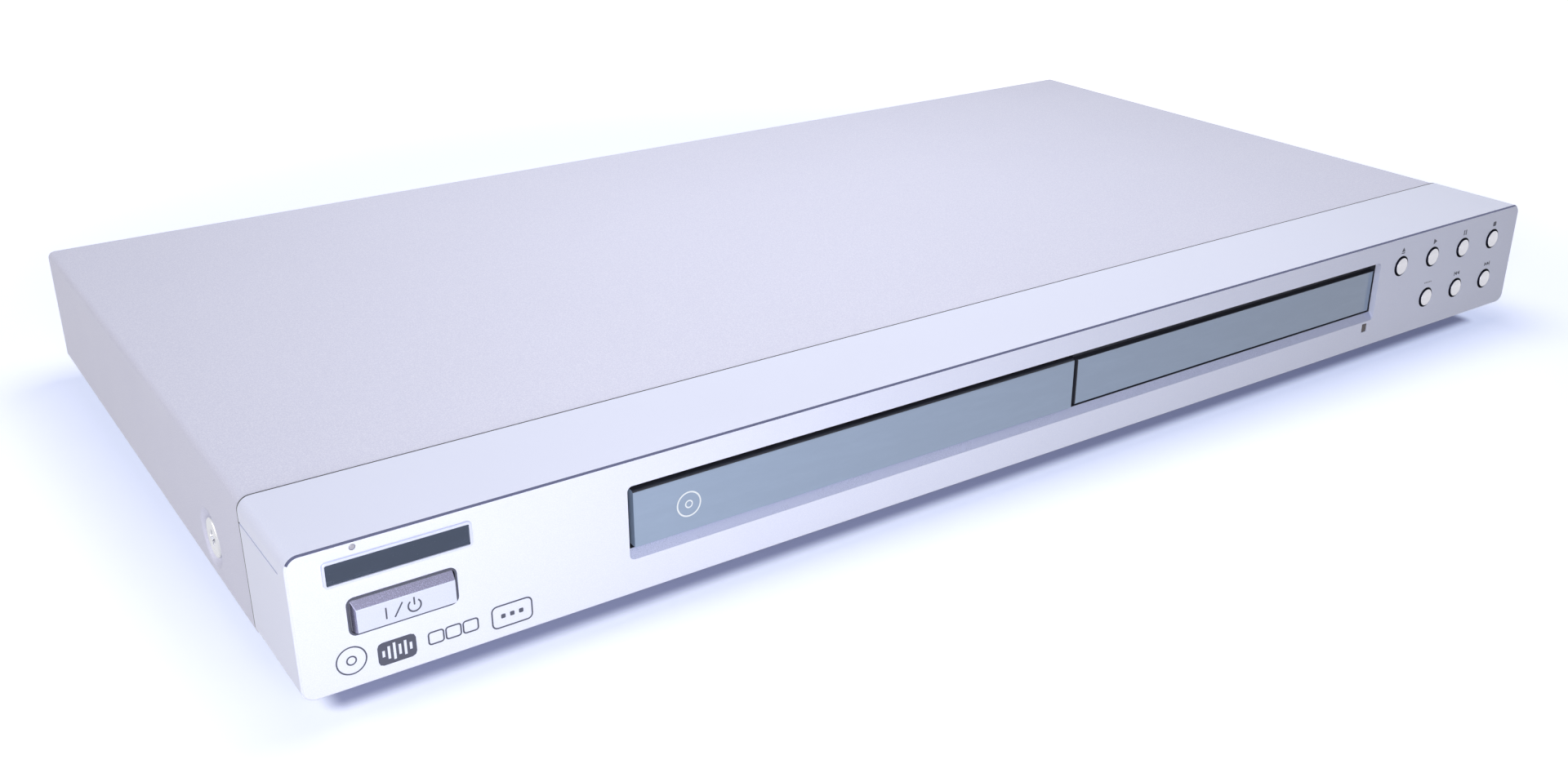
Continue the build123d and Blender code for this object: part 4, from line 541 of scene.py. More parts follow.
# --- Finishes ---
# Each has its shader group, a colour or the name of a player's colour, a second colour or its share
# of the first, the metal, the smoothest and roughest roughness, the bump in microns, and what else
# the finish or its group is given.
FINISHES = {
    "silver_panel": ("metal_flake", "panel", 0.88, 0.08, 0.30, 0.42, 10, dict(shine=0.3, Flecks=0.35)),
    # A dark blue metal that paints shade and dark reflection on the panel's top chamfer and on the round
    # buttons' sides.
    "cut_edge": ("turned_metal", (0.15, 0.16, 0.27), (0.11, 0.12, 0.20), 0.9, 0.20, 0.30, 2),
    # The panel's silver made darker and bluer, as painted shade on the ledge under the recess's overhang.
    "ledge_silver": ("metal_flake", (0.42, 0.46, 0.66), (0.36, 0.40, 0.58), 0.1, 0.25, 0.38, 10),
    "cover_steel": (
        "metal_flake", "cover", 0.90, 0.12, 0.42, 0.55, 30,
        dict(shine=0.35, Fleck_size=4200.0, Flecks=0.45, Drift=0.3),
    ),
    "zinc_steel": ("plated_sheet", (0.50, 0.51, 0.53), (0.36, 0.37, 0.40), 0.9, 0.30, 0.48, 20),
    "screw_steel": ("turned_metal", (0.72, 0.73, 0.78), (0.55, 0.56, 0.62), 0.85, 0.22, 0.36, 10),
    "black_screw": ("turned_metal", (0.03, 0.03, 0.032), (0.012, 0.012, 0.013), 0.6, 0.30, 0.5, 10),
    "smoked_glass": ("handled_gloss", "smoked", 1.2, 0.0, 0.04, 0.14, 1, dict(coat=0.3, coat_rough=0.03)),
    "button_silver": ("metal_flake", (0.70, 0.70, 0.76), (0.50, 0.50, 0.58), 0.85, 0.20, 0.32, 5),
    "power_silver": ("metal_flake", (0.62, 0.66, 0.84), (0.52, 0.56, 0.74), 0.3, 0.28, 0.40, 10),
    # A darker copy of the power button's silver, as painted shade on its sloped top and left end.
    "power_slope": ("metal_flake", (0.24, 0.24, 0.36), (0.34, 0.34, 0.48), 0.6, 0.22, 0.32, 10),
    "slate_plate": ("handled_gloss", "plate", 1.7, 0.2, 0.22, 0.40, 5),
    "clear_guide": ("handled_gloss", (0.34, 0.34, 0.40), (0.42, 0.42, 0.48), 0.0, 0.08, 0.2, 2),
    "dark_filter": ("handled_gloss", (0.035, 0.02, 0.03), (0.07, 0.05, 0.06), 0.0, 0.06, 0.2, 2),
    "black_plastic": ("moulded_grain", (0.018, 0.020, 0.030), (0.036, 0.040, 0.056), 0.0, 0.42, 0.6, 30),
    "tray_plastic": ("moulded_grain", "tray", 1.6, 0.0, 0.38, 0.55, 30),
    "white_plastic": ("moulded_grain", (0.72, 0.71, 0.66), (0.82, 0.81, 0.77), 0.0, 0.32, 0.48, 10),
    "rubber": ("moulded_grain", (0.028, 0.028, 0.03), (0.05, 0.05, 0.052), 0.0, 0.65, 0.85, 40),
    "board_green": ("circuit_tracks", (0.012, 0.12, 0.045), (0.02, 0.19, 0.07), 0.0, 0.25, 0.45, 30),
    "board_tan": (
        "circuit_tracks", (0.45, 0.29, 0.11), (0.53, 0.36, 0.16), 0.0, 0.4, 0.6, 30, dict(Track_size=260.0),
    ),
    "chip_black": (
        "moulded_grain", (0.014, 0.014, 0.015), (0.03, 0.03, 0.032), 0.0, 0.45, 0.6, 20,
        dict(Grain_size=5000.0),
    ),
    "display_glass": ("handled_gloss", (0.02, 0.035, 0.04), (0.05, 0.08, 0.09), 0.0, 0.05, 0.15, 2),
    "aluminium": ("turned_metal", (0.70, 0.71, 0.72), (0.56, 0.57, 0.58), 1.0, 0.28, 0.42, 20),
    "steel_part": ("turned_metal", (0.52, 0.52, 0.54), (0.40, 0.40, 0.42), 1.0, 0.20, 0.38, 10),
    "brass_part": ("turned_metal", (0.66, 0.49, 0.22), (0.52, 0.37, 0.15), 1.0, 0.24, 0.4, 10),
    "lens_glass": (
        "handled_gloss", (0.05, 0.04, 0.16), (0.10, 0.08, 0.24), 0.0, 0.02, 0.06, 1, dict(coat=1.0),
    ),
    "tape_yellow": ("striped_tape", (0.72, 0.48, 0.05), (0.80, 0.58, 0.10), 0.0, 0.35, 0.5, 30),
    "ribbon_white": ("striped_tape", (0.72, 0.72, 0.70), (0.52, 0.52, 0.51), 0.0, 0.35, 0.5, 30),
    "nickel": ("turned_metal", (0.68, 0.67, 0.64), (0.54, 0.53, 0.50), 1.0, 0.16, 0.3, 10),
    "dark_ink": ("moulded_grain", "ink", 1.5, 0.0, 0.4, 0.55, 2),
    "pale_ink": ("moulded_grain", (0.72, 0.76, 0.80), (0.62, 0.66, 0.70), 0.0, 0.4, 0.55, 2),
}
SOCKET_TONES = {
    "yellow": ((0.80, 0.58, 0.03), (0.88, 0.66, 0.08)),
    "white": ((0.78, 0.78, 0.76), (0.86, 0.86, 0.84)),
    "red": ((0.62, 0.03, 0.03), (0.72, 0.06, 0.05)),
    "green": ((0.03, 0.36, 0.08), (0.06, 0.44, 0.12)),
    "blue": ((0.03, 0.10, 0.50), (0.05, 0.15, 0.58)),
    "orange": ((0.80, 0.24, 0.02), (0.88, 0.32, 0.05)),
}


def finish(
    name, group, main, second, metallic, smooth, rough, bump, coat=0.0, coat_rough=0.1, shine=0.5, **numbers,
):
    """A material: a shader group into a Principled BSDF, with its roughness between two values."""
    plain = bpy.data.materials.get(name)
    if plain is not None:
        plain.name = name + "_cad"
    material = bpy.data.materials.new(name)
    material.use_nodes = True
    board = Board(material.node_tree)
    pattern = board.node("Group", node_tree=bpy.data.node_groups[group])
    board.feed(pattern, Colour=(*main, 1.0), Second_colour=(*second, 1.0), **numbers)
    spread = board.node("MapRange")
    board.feed(spread, i0=pattern.outputs["Roughness"], i1=0.0, i2=1.0, i3=smooth, i4=rough)
    relief = board.node("Bump")
    board.feed(relief, Strength=0.5, Distance=bump * MICRON, Height=pattern.outputs["Height"])
    board.feed(
        material.node_tree.nodes["Principled BSDF"],
        Base_Color=pattern.outputs["Colour"], Roughness=spread.outputs[0], Normal=relief.outputs["Normal"],
        Metallic=metallic, Specular_IOR_Level=shine, Coat_Weight=coat, Coat_Roughness=coat_rough,
    )


def scaled(tone, share):
    return tuple(value * share for value in tone)


class PLAYER_OT_finishes(bpy.types.Operator):
    """Makes the shader groups and the finish of every kind of piece"""
    bl_idname = "player.finishes"
    bl_label = "Finishes"

    def execute(self, context):
        tones = context.scene.player_colours
        make_metal_flake()
        make_moulded_grain()
        make_plated_sheet()
        make_turned_metal()
        make_handled_gloss()
        make_circuit_tracks()
        make_striped_tape()
        for name, (group, main, second, *values) in FINISHES.items():
            if isinstance(main, str):
                main = tuple(getattr(tones, main))
                second = scaled(main, second)
            more = values.pop() if isinstance(values[-1], dict) else {}
            finish(name, group, main, second, *values, **more)
        for name, (main, second) in SOCKET_TONES.items():
            finish("socket_" + name, "moulded_grain", main, second, 0.0, 0.35, 0.5, 10)
        return {"FINISHED"}


class PLAYER_OT_cad_finishes(bpy.types.Operator):
    """Gives every carried-over CAD node the finish of its material slot"""
    bl_idname = "player.cad_finishes"
    bl_label = "Finishes of inner pieces"

    def execute(self, context):
        for part in frame["record"]["subparts"]:
            mesh = frame["nodes"][part["node"]].data
            mesh.materials.clear()
            mesh.materials.append(bpy.data.materials[part["material_slot"]])
        return {"FINISHED"}


# --- Front panel ---
def button_place(name):
    """Where a button's axis lies, across and up."""
    x, _, z = halfway(*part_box(name + "_button"))
    return x, z


def power_cap_box():
    """The left, right, foot and top of the power button's cap."""
    low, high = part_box("power_button")
    return low[0] + POWER_RIM, high[0] - POWER_RIM, low[2] + POWER_RIM, high[2] - POWER_RIM


def rounded_slab(name, start, end, inset, sizes):
    """The panel's outline, drawn in by an inset, from start to end along y."""
    low = (PANEL_LOW[0] + inset, start, PANEL_LOW[2] + inset)
    high = (PANEL_HIGH[0] - inset, end, PANEL_HIGH[2] - inset)
    slab = block(name, low, high)
    middle = (PANEL_LOW[2] + PANEL_HIGH[2]) / 2
    least = 0.5 * MM
    round_corners(slab, 1, max(sizes.panel_top_corner - inset, least), 10, lambda p: p.z > middle)
    round_corners(slab, 1, max(sizes.panel_low_corner - inset, least), 8, lambda p: p.z < middle)
    return slab


def open_floor(piece, start, end, height, sizes):
    """Cuts the floor away between the bottom corners, from start to end along y."""
    reach = PANEL_HIGH[0] - sizes.panel_low_corner
    cut(piece, block(
        "opening", (-reach, start, PANEL_LOW[2] - OVERCUT), (reach, end, PANEL_LOW[2] + height),
    ))


def make_panel_shell(sizes):
    """The moulded panel: rounded corners, a chamfered face, an open back and a short floor."""
    back, wall = FACE + sizes.panel_depth, sizes.panel_wall
    panel = rounded_slab("panel_shell", FACE, back, 0, sizes)
    bevel_rim(panel, 1, FACE, sizes.panel_chamfer)
    cut(panel, rounded_slab("hollow", FACE + wall, back + OVERCUT, wall, sizes))
    open_floor(panel, FACE + sizes.panel_floor, back + OVERCUT, wall + OVERCUT, sizes)
    return panel


def cut_openings(panel, sizes):
    """The recess, the buttons' holes, the light's, the power button's well and the eye's slot."""
    front, inside = FACE - OVERCUT, FACE + sizes.panel_wall + OVERCUT
    low = (sizes.recess_left, front, sizes.recess_foot)
    recess = block("recess", low, (sizes.recess_right, inside, sizes.recess_top))
    round_corners(recess, 1, sizes.recess_corner, 6)
    cut(panel, recess)
    holes = []
    for name in ROUND_BUTTONS:
        x, z = button_place(name)
        holes.append(rod("hole", (x, FACE, z), sizes.button_hole, 8 * MM, "Y", 40))
        wide, narrow = sizes.button_hole + MOUTH_RIM, sizes.button_hole - 0.05 * MM
        cut(panel, rod("mouth", (x, FACE + 0.35 * MM, z), wide, 0.9 * MM, "Y", 40, narrow))
    cut(panel, join("holes", holes))
    low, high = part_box("standby_light")
    radius = (high[0] - low[0]) / 2
    place = (low[0] + radius, FACE, high[2] - radius)
    depth = 2 * (high[1] - FACE) + OVERCUT
    cut(panel, rod("guide_hole", place, radius + 0.05 * MM, depth, "Y", 20))
    low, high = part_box("power_button")
    rim = POWER_RIM - sizes.power_gap
    well = block("well", (low[0] + rim, front, low[2] + rim), (high[0] - rim, inside, high[2] - rim))
    round_corners(well, 1, POWER_CORNER, 5)
    cut(panel, well)
    low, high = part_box("remote_eye")
    across, up = EYE_RIM
    cut(panel, block(
        "slot", (low[0] + across, front, low[2] + up), (high[0] - across, inside, high[2] - up),
    ))


def cut_side_grooves(panel, sizes):
    """The fine groove along the top of each side."""
    start, end = FACE + 5.4 * MM, FACE + sizes.panel_depth + OVERCUT
    height, deep, half = PANEL_HIGH[2] - 5.9 * MM, 0.35 * MM, 0.25 * MM
    for edge in (PANEL_LOW[0], PANEL_HIGH[0]):
        cut(panel, block("line", (edge - deep, start, height - half), (edge + deep, end, height + half)))


def paint_panel_shade(panel, sizes):
    """Paints shade: a painted dark reflection on the top chamfer, and black painted shade in the buttons'
    holes and the power button's well.
    """
    behind, inside = FACE + 0.04 * MM, FACE + sizes.panel_wall
    chamfer_end = FACE + 0.7 * MM
    mouths = [button_place(name) for name in ROUND_BUTTONS]
    reach = sizes.button_hole + MOUTH_RIM + 0.1 * MM
    low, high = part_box("power_button")

    def on_chamfer(face):
        return face.center.y < chamfer_end and face.normal.z > 0.3 and -0.93 < face.normal.y < -0.3

    def in_hole(face):
        near = any(math.dist((face.center.x, face.center.z), mouth) < reach for mouth in mouths)
        return near and face.center.y > behind and face.normal.y > -0.95

    def in_well(face):
        across = low[0] < face.center.x < high[0] and low[2] < face.center.z < high[2]
        return across and behind < face.center.y < inside and abs(face.normal.y) < 0.6

    # Painted shade: the top chamfer's dark line is a painted dark reflection.
    paint(panel, "cut_edge", on_chamfer)
    # Painted shade: the buttons' holes and the well's walls are painted black.
    paint(panel, "black_plastic", lambda f: in_hole(f) or in_well(f))


def make_recess_shade_collar(sizes):
    """The black collar that runs in behind the face: a dark piece that paints the shade inside the recess.
    """
    wall, top = sizes.collar_wall, sizes.recess_top
    left, right = sizes.recess_left, sizes.recess_right
    start = FACE + sizes.panel_wall - 0.1 * MM
    end = FACE + sizes.panel_wall + sizes.collar_depth
    low = (left - wall, start, sizes.recess_floor - wall)
    collar = block("recess_collar", low, (right + wall, end, top + wall))
    round_corners(collar, 1, sizes.recess_corner + wall, 6)
    low = (left, start - OVERCUT, sizes.recess_floor)
    hollow = block("hollow", low, (right, end + OVERCUT, top))
    round_corners(hollow, 1, sizes.recess_corner, 6)
    cut(collar, hollow)
    soften(collar, 0.1 * MM)
    hand_over(collar, "case", "black_plastic", slot="silver_panel")


def make_ledge(sizes):
    """The sloped ledge at the recess's foot, begun just behind the face. Its finish is a darker, bluer copy
    of the panel's silver: painted shade under the recess's overhang.
    """
    front = FACE + 0.12 * MM
    low, high = sizes.recess_foot - 0.5 * MM, sizes.recess_floor
    ledge = block(
        "recess_ledge", (sizes.recess_left, front, low), (sizes.recess_right, FACE + sizes.panel_wall, high),
    )
    pick(ledge, "EDGE", lambda e: all(at(v.co.y, front) and at(v.co.z, high) for v in e.verts))
    bpy.ops.transform.translate(value=(0, 0, sizes.recess_foot - high))
    soften(ledge, 0)
    hand_over(ledge, "case", "ledge_silver", slot="silver_panel")


def make_seam_shade_strip(sizes):
    """The thin black strip in the seam between the panel and the cover: painted shade that stands in for the
    seam's shadow line.
    """
    start = FACE + sizes.panel_depth + 0.01 * MM
    end = FACE + sizes.panel_depth + 0.27 * MM + sizes.seam_extra
    strip = rounded_slab("seam_strip", start, end, 0, sizes)
    cut(strip, rounded_slab("hollow", start - OVERCUT, end + OVERCUT, 0.9 * MM, sizes))
    open_floor(strip, start - OVERCUT, end + OVERCUT, 3 * MM, sizes)
    soften(strip, 0)
    hand_over(strip, "case", "black_plastic")


class PLAYER_OT_front_panel(bpy.types.Operator):
    """Models the front panel with its recess, holes and side grooves"""
    bl_idname = "player.front_panel"
    bl_label = "Front panel"

    def execute(self, context):
        sizes = context.scene.player_sizes
        panel = make_panel_shell(sizes)
        cut_openings(panel, sizes)
        cut_side_grooves(panel, sizes)
        soften(panel, 0.14 * MM)
        hand_over(panel, "case", "silver_panel", "front_panel")
        paint_panel_shade(panel, sizes)
        make_recess_shade_collar(sizes)
        make_ledge(sizes)
        make_seam_shade_strip(sizes)
        return {"FINISHED"}


class PLAYER_OT_tray_door(bpy.types.Operator):
    """Models the glossy door on the tray's front"""
    bl_idname = "player.tray_door"
    bl_label = "Tray door"

    def execute(self, context):
        low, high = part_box("tray_door")
        front, top = low[1], high[2]
        door = block("tray_door_bar", low, high)

        def on_top(vertex):
            return at(vertex.co.y, front) and at(vertex.co.z, top)

        pick(door, "EDGE", lambda e: runs(e, 0) and all(on_top(v) for v in e.verts))
        bevel(0.95 * MM, 3)
        pick(door, "EDGE", lambda e: runs(e, 2) and all(at(v.co.y, front) for v in e.verts))
        bevel(0.4 * MM, 3)
        soften(door, 0.12 * MM)
        hand_over(door, "tray", "smoked_glass", "tray_door")
        # Painted shade: the upper faces of the door's top bevel are painted black, for the dark gap above
        # the door.
        paint(door, "black_plastic", lambda f: f.normal.z > 0.5 and f.normal.y < 0.5)
        return {"FINISHED"}


class PLAYER_OT_display_window(bpy.types.Operator):
    """Models the smoked window with the flange behind it"""
    bl_idname = "player.display_window"
    bl_label = "Display window"

    def execute(self, context):
        sizes = context.scene.player_sizes
        low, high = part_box("display_window")
        seat = FACE + sizes.panel_wall + sizes.collar_depth
        foot_gap, end_gap, tall = 0.3 * MM, 0.7 * MM, 13.9 * MM
        pane_low = (low[0], low[1], low[2] + sizes.collar_wall + foot_gap)
        pane_high = (sizes.recess_right - end_gap, seat, pane_low[2] + tall)
        pane = block("display_pane", pane_low, pane_high)
        bevel_rim(pane, 1, low[1], 0.35 * MM, 3)
        flange = block("flange", (low[0], seat, low[2]), high)
        round_corners(flange, 1, 1.0 * MM, 4)
        pane = join("display_pane", [pane, flange])
        soften(pane, 0.08 * MM)
        hand_over(pane, "case", "smoked_glass", "display_window")

        # The flange behind the seat is black; the pane's top and left sides are painted black as painted
        # shade under the recess's edge.
        def black_flange_and_shaded_sides(face):
            return face.center.y > seat - 0.01 * MM or max(-face.normal.x, face.normal.z) > 0.6

        paint(pane, "black_plastic", black_flange_and_shaded_sides)
        return {"FINISHED"}


def make_plaque():
    """A bare plaque: a silver rim round a dark field that lies a little deeper."""
    low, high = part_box("nameplate")
    rim, slack = 0.6 * MM, 0.02 * MM
    plaque = block("bare_plaque", low, (high[0], FACE, high[2]))
    round_corners(plaque, 1, 1.0 * MM, 6)
    pick(plaque, "FACE", lambda f: f.normal.y < -0.99)
    bpy.ops.mesh.inset(thickness=rim)
    extrude((0, 0.3 * MM, 0))
    soften(plaque, 0.1 * MM)
    hand_over(plaque, "case", "power_silver", "nameplate")
    left, right = low[0] + rim + slack, high[0] - rim - slack
    foot, top = low[2] + rim + slack, high[2] - rim - slack

    def on_field(face):
        within = left < face.center.x < right and foot < face.center.z < top
        return within and face.center.y > low[1] + 0.05 * MM

    paint(plaque, "slate_plate", on_field)


def make_standby_guide():
    """The clear rod that carries the standby light, with its foot at the back."""
    low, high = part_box("standby_light")
    radius, half = (high[0] - low[0]) / 2, 0.55 * MM
    x, z = low[0] + radius, high[2] - radius
    guide = rod("standby_guide", (x, (low[1] + high[1]) / 2, z), radius, high[1] - low[1], "Y", 20)
    bevel_rim(guide, 1, low[1], 0.25 * MM, 3)
    foot = block("foot", (x - half, high[1] - 2 * radius, low[2]), (x + half, high[1], z))
    guide = join("standby_guide", [guide, foot])
    soften(guide, 0)
    hand_over(guide, "case", "clear_guide", "standby_light")


def make_eye_plug(sizes):
    """The dark window in front of the remote-control eye, with its flange."""
    low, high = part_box("remote_eye")
    seat = FACE + sizes.panel_wall
    across, up = EYE_RIM
    plug = block("eye_plug", (low[0] + across, low[1], low[2] + up), (high[0] - across, seat, high[2] - up))
    bevel_rim(plug, 1, low[1], 0.3 * MM, 2)
    plug = join("eye_plug", [plug, block("flange", (low[0], seat, low[2]), high)])
    soften(plug, 0.05 * MM)
    hand_over(plug, "case", "dark_filter", "remote_eye")


class PLAYER_OT_face_pieces(bpy.types.Operator):
    """Models the bare nameplate, the standby light and the remote eye"""
    bl_idname = "player.face_pieces"
    bl_label = "Nameplate, light and eye"

    def execute(self, context):
        make_plaque()
        make_standby_guide()
        make_eye_plug(context.scene.player_sizes)
        return {"FINISHED"}


# --- Buttons ---
def make_round_button(sizes, x, z, end):
    """A domed cap on a flange and a stem."""
    rim, dome, rings = FACE - 0.45 * MM, 0.75 * MM, 7
    flange = FACE + sizes.panel_wall + FLANGE_GAP
    flange_radius, stem_radius = 3.9 * MM, 1.5 * MM
    button = rod("cap", (x, (rim + flange) / 2, z), sizes.button_radius, flange - rim, "Y", 48)
    pick(button, "FACE", lambda f: f.normal.y > 0.99)
    extrude((0, 0, 0))
    wide = flange_radius / sizes.button_radius
    resize((wide, 1, wide), (x, flange, z))
    extrude((0, FLANGE_THICK, 0))
    extrude((0, 0, 0))
    slim = stem_radius / flange_radius
    resize((slim, 1, slim), (x, flange + FLANGE_THICK, z))
    extrude((0, end - flange - FLANGE_THICK, 0))
    pick(button, "FACE", lambda f: f.normal.y < -0.99 and at(f.calc_center_median().y, rim))
    ball = (sizes.button_radius ** 2 + dome ** 2) / (2 * dome)
    radius, rise = sizes.button_radius, 0.0
    for ring in range(1, rings + 1):
        next_radius = sizes.button_radius * (1 - ring / (rings + 0.5))
        next_rise = dome - ball + math.sqrt(ball ** 2 - next_radius ** 2)
        bpy.ops.mesh.inset(thickness=radius - next_radius, depth=next_rise - rise)
        radius, rise = next_radius, next_rise
    rest()
    return button


class PLAYER_OT_round_buttons(bpy.types.Operator):
    """Models one round button and copies it to its seven places"""
    bl_idname = "player.round_buttons"
    bl_label = "Round buttons"

    def execute(self, context):
        x, z = button_place("play")
        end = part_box("play_button")[1][1]
        first = make_round_button(context.scene.player_sizes, x, z, end)
        soften(first, 0.06 * MM)
        for name in ROUND_BUTTONS:
            own_x, own_z = button_place(name)
            button = copy_to(first, name + "_cap", (own_x - x, 0, own_z - z))
            hand_over(button, name + "_button_body", "button_silver", name + "_button")
            # Painted shade: each cap's side and back are painted dark.
            paint(button, "cut_edge", lambda f: abs(f.normal.y) < 0.5 or f.center.y > FACE)
        bpy.data.objects.remove(first, do_unlink=True)
        return {"FINISHED"}


def make_power_cap(sizes):
    """A cap with a sloped top and left end, on a flange and a stem."""
    low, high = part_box("power_button")
    left, right, foot, top = power_cap_box()
    front, shoulder = low[1], FACE + 0.3 * MM
    flange_y = FACE + sizes.panel_wall + FLANGE_GAP
    cap = block("power_cap", (left, front, foot), (right, flange_y, top))
    pick(cap, "FACE", lambda f: True)
    bpy.ops.mesh.bisect(plane_co=(0, shoulder, 0), plane_no=(0, 1, 0))
    pick(cap, "VERT", lambda v: at(v.co.y, front) and at(v.co.z, top))
    bpy.ops.transform.translate(value=(0, 0, -sizes.power_slope))
    pick(cap, "VERT", lambda v: at(v.co.y, front) and at(v.co.x, left))
    bpy.ops.transform.translate(value=(sizes.power_side_slope, 0, 0))
    rest()
    flange_end = flange_y + FLANGE_THICK
    flange = block("flange", (low[0], flange_y, low[2]), (high[0], flange_end, high[2]))
    x, _, z = halfway(low, high)
    half, overlap = 2 * MM, 0.1 * MM
    stem = block("stem", (x - half, flange_end - overlap, z - half), (x + half, high[1], z + half))
    cap = join("power_cap", [cap, flange, stem])
    soften(cap, 0.09 * MM)
    hand_over(cap, "power_button_body", "power_silver", "power_button")

    def on_shaded_slope(face):
        leans = face.normal.z > 0.4 or face.normal.x < -0.4
        return leans and face.center.y < shoulder and -0.93 < face.normal.y < -0.4

    # Painted shade: the sloped top and left end get the darker slope finish.
    paint(cap, "power_slope", on_shaded_slope)
    paint(cap, "black_plastic", lambda f: f.center.y > flange_y - 0.01 * MM)


def make_power_shade_rim(sizes):
    """A dark printed rim round the power button's well: painted shade that widens the dark gap round the
    cap.
    """
    left, right, foot, top = power_cap_box()
    gap, width = sizes.power_gap, 0.5 * MM
    reach = gap + width
    low = (left - reach, FACE - sizes.ink, foot - reach)
    bezel = block("power_bezel", low, (right + reach, FACE + sizes.ink, top + reach))
    round_corners(bezel, 1, POWER_CORNER + width, 5)
    low = (left - gap, FACE - OVERCUT, foot - gap)
    hole = block("hole", low, (right + gap, FACE + OVERCUT, top + gap))
    round_corners(hole, 1, POWER_CORNER, 5)
    cut(bezel, hole)
    hand_over(bezel, "case", "dark_ink", slot="black_plastic")


def make_standby_symbol(sizes):
    """A bar, a slash and the standby ring, printed on the power button."""
    left, right, foot, top = power_cap_box()
    x, z = (left + right) / 2 - 1.0 * MM, (foot + top - sizes.power_slope) / 2
    front, line, ring_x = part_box("power_button")[0][1], 0.36 * MM, x + 3.0 * MM
    symbol = join("standby_symbol", [
        ink_bar(sizes, front, x - 3.4 * MM, z, line, 2.8 * MM),
        ink_bar(sizes, front, x - 0.6 * MM, z, line, 3.7 * MM, 0.55),
        ink_ring(sizes, front, ring_x, z - 0.15 * MM, 1.65 * MM, 0.38 * MM, 0.62),
        ink_bar(sizes, front, ring_x, z + 0.95 * MM, line, 1.9 * MM),
    ])
    hand_over(symbol, "power_button_body", "dark_ink", slot="black_plastic")


class PLAYER_OT_power_button(bpy.types.Operator):
    """Models the sloped power button and the standby symbol on it"""
    bl_idname = "player.power_button"
    bl_label = "Power button"

    def execute(self, context):
        sizes = context.scene.player_sizes
        make_power_cap(sizes)
        make_power_shade_rim(sizes)
        make_standby_symbol(sizes)
        return {"FINISHED"}


# --- Printing ---
def ink_bar(sizes, face, x, z, wide, tall, lean=0.0):
    """A short printed bar on a face, leaning by an angle in radians."""
    rest()
    bpy.ops.mesh.primitive_cube_add(
        size=1.0, location=(x, face, z), rotation=(0, lean, 0), scale=(wide, 2 * sizes.ink, tall),
    )
    bar = settle(bpy.context.object, "ink")
    pick(bar, "EDGE", lambda e: runs(e, 1))
    bevel(0.2 * min(wide, tall), 2)
    rest()
    return bar


def ink_triangle(sizes, face, x, z, size, towards):
    """A printed triangle that points right (1) or left (-1), or up (0)."""
    mark = rod("ink", (x, face, z), size, 2 * sizes.ink, "Y", 3)
    tip = max(v.co.z for v in mark.data.vertices) - z
    flip = 0.0 if tip > 0.9 * size else math.pi
    pick(mark, "FACE", lambda f: True)
    bpy.ops.transform.rotate(
        value=flip - towards * math.pi / 2, orient_axis="Y", center_override=(x, face, z),
    )
    pick(mark, "EDGE", lambda e: runs(e, 1))
    bevel(0.12 * size, 2)
    rest()
    return mark


def hollow_out(mark, line):
    """Leaves only a flat outline of a mark, a line wide."""
    pick(mark, "FACE", lambda f: abs(f.normal.y) > 0.99)
    bpy.ops.mesh.inset(thickness=line)
    bpy.ops.mesh.delete(type="FACE")
    pick(mark, "FACE", lambda f: abs(f.normal.y) < 0.5)
    bpy.ops.mesh.delete(type="FACE")
    rest()


def ink_ring(sizes, face, x, z, radius, line, gap=0.0):
    """A printed ring, open at the top by an angle in radians each side."""
    ring = rod("ink", (x, face, z), radius, 2 * sizes.ink, "Y", 48)
    hollow_out(ring, line)

    def near_top(part):
        middle = part.calc_center_median()
        return abs(math.atan2(middle.x - x, middle.z - z)) < gap

    if gap:
        pick(ring, "FACE", near_top)
        bpy.ops.mesh.delete(type="FACE")
        rest()
    return ring


def ink_frame(sizes, x, z, wide, tall):
    """A printed outline of a box with rounded corners, on the panel's face."""
    reach = Vector((wide / 2, sizes.ink, tall / 2))
    middle = Vector((x, FACE, z))
    outline = block("ink", middle - reach, middle + reach)
    round_corners(outline, 1, 0.24 * min(wide, tall), 4)
    hollow_out(outline, 0.38 * MM)
    return outline


def transport_marks(sizes):
    """The standard symbol above each round button."""
    def bar(x, z, wide, tall):
        return ink_bar(sizes, FACE, x, z, wide * MM, tall * MM)

    def triangle(x, z, size, towards):
        return ink_triangle(sizes, FACE, x, z, size * MM, towards)

    marks = []
    for name in ROUND_BUTTONS:
        low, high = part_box(name + "_button")
        x, z = (low[0] + high[0]) / 2, high[2] + 1.4 * MM
        if name == "open_close":
            marks += [triangle(x, z + 0.1 * MM, 1.0, 0), bar(x, z - 0.85 * MM, 1.7, 0.35)]
        elif name == "play":
            marks.append(triangle(x, z, 1.15, 1))
        elif name == "pause":
            marks += [bar(x + side * 0.5 * MM, z, 0.5, 1.8) for side in (-1, 1)]
        elif name == "stop":
            marks.append(bar(x, z, 1.6, 1.6))
        elif name == "mode":
            marks += [bar(x + n * 0.8 * MM, z, 0.4, 0.4) for n in (-2, -1, 0, 1, 2)]
        else:
            side = -1 if name == "previous" else 1
            marks.append(bar(x + side * 1.75 * MM, z, 0.35, 1.5))
            marks += [triangle(x + side * n * MM, z, 0.85, side) for n in (-0.6, 0.75)]
    return marks


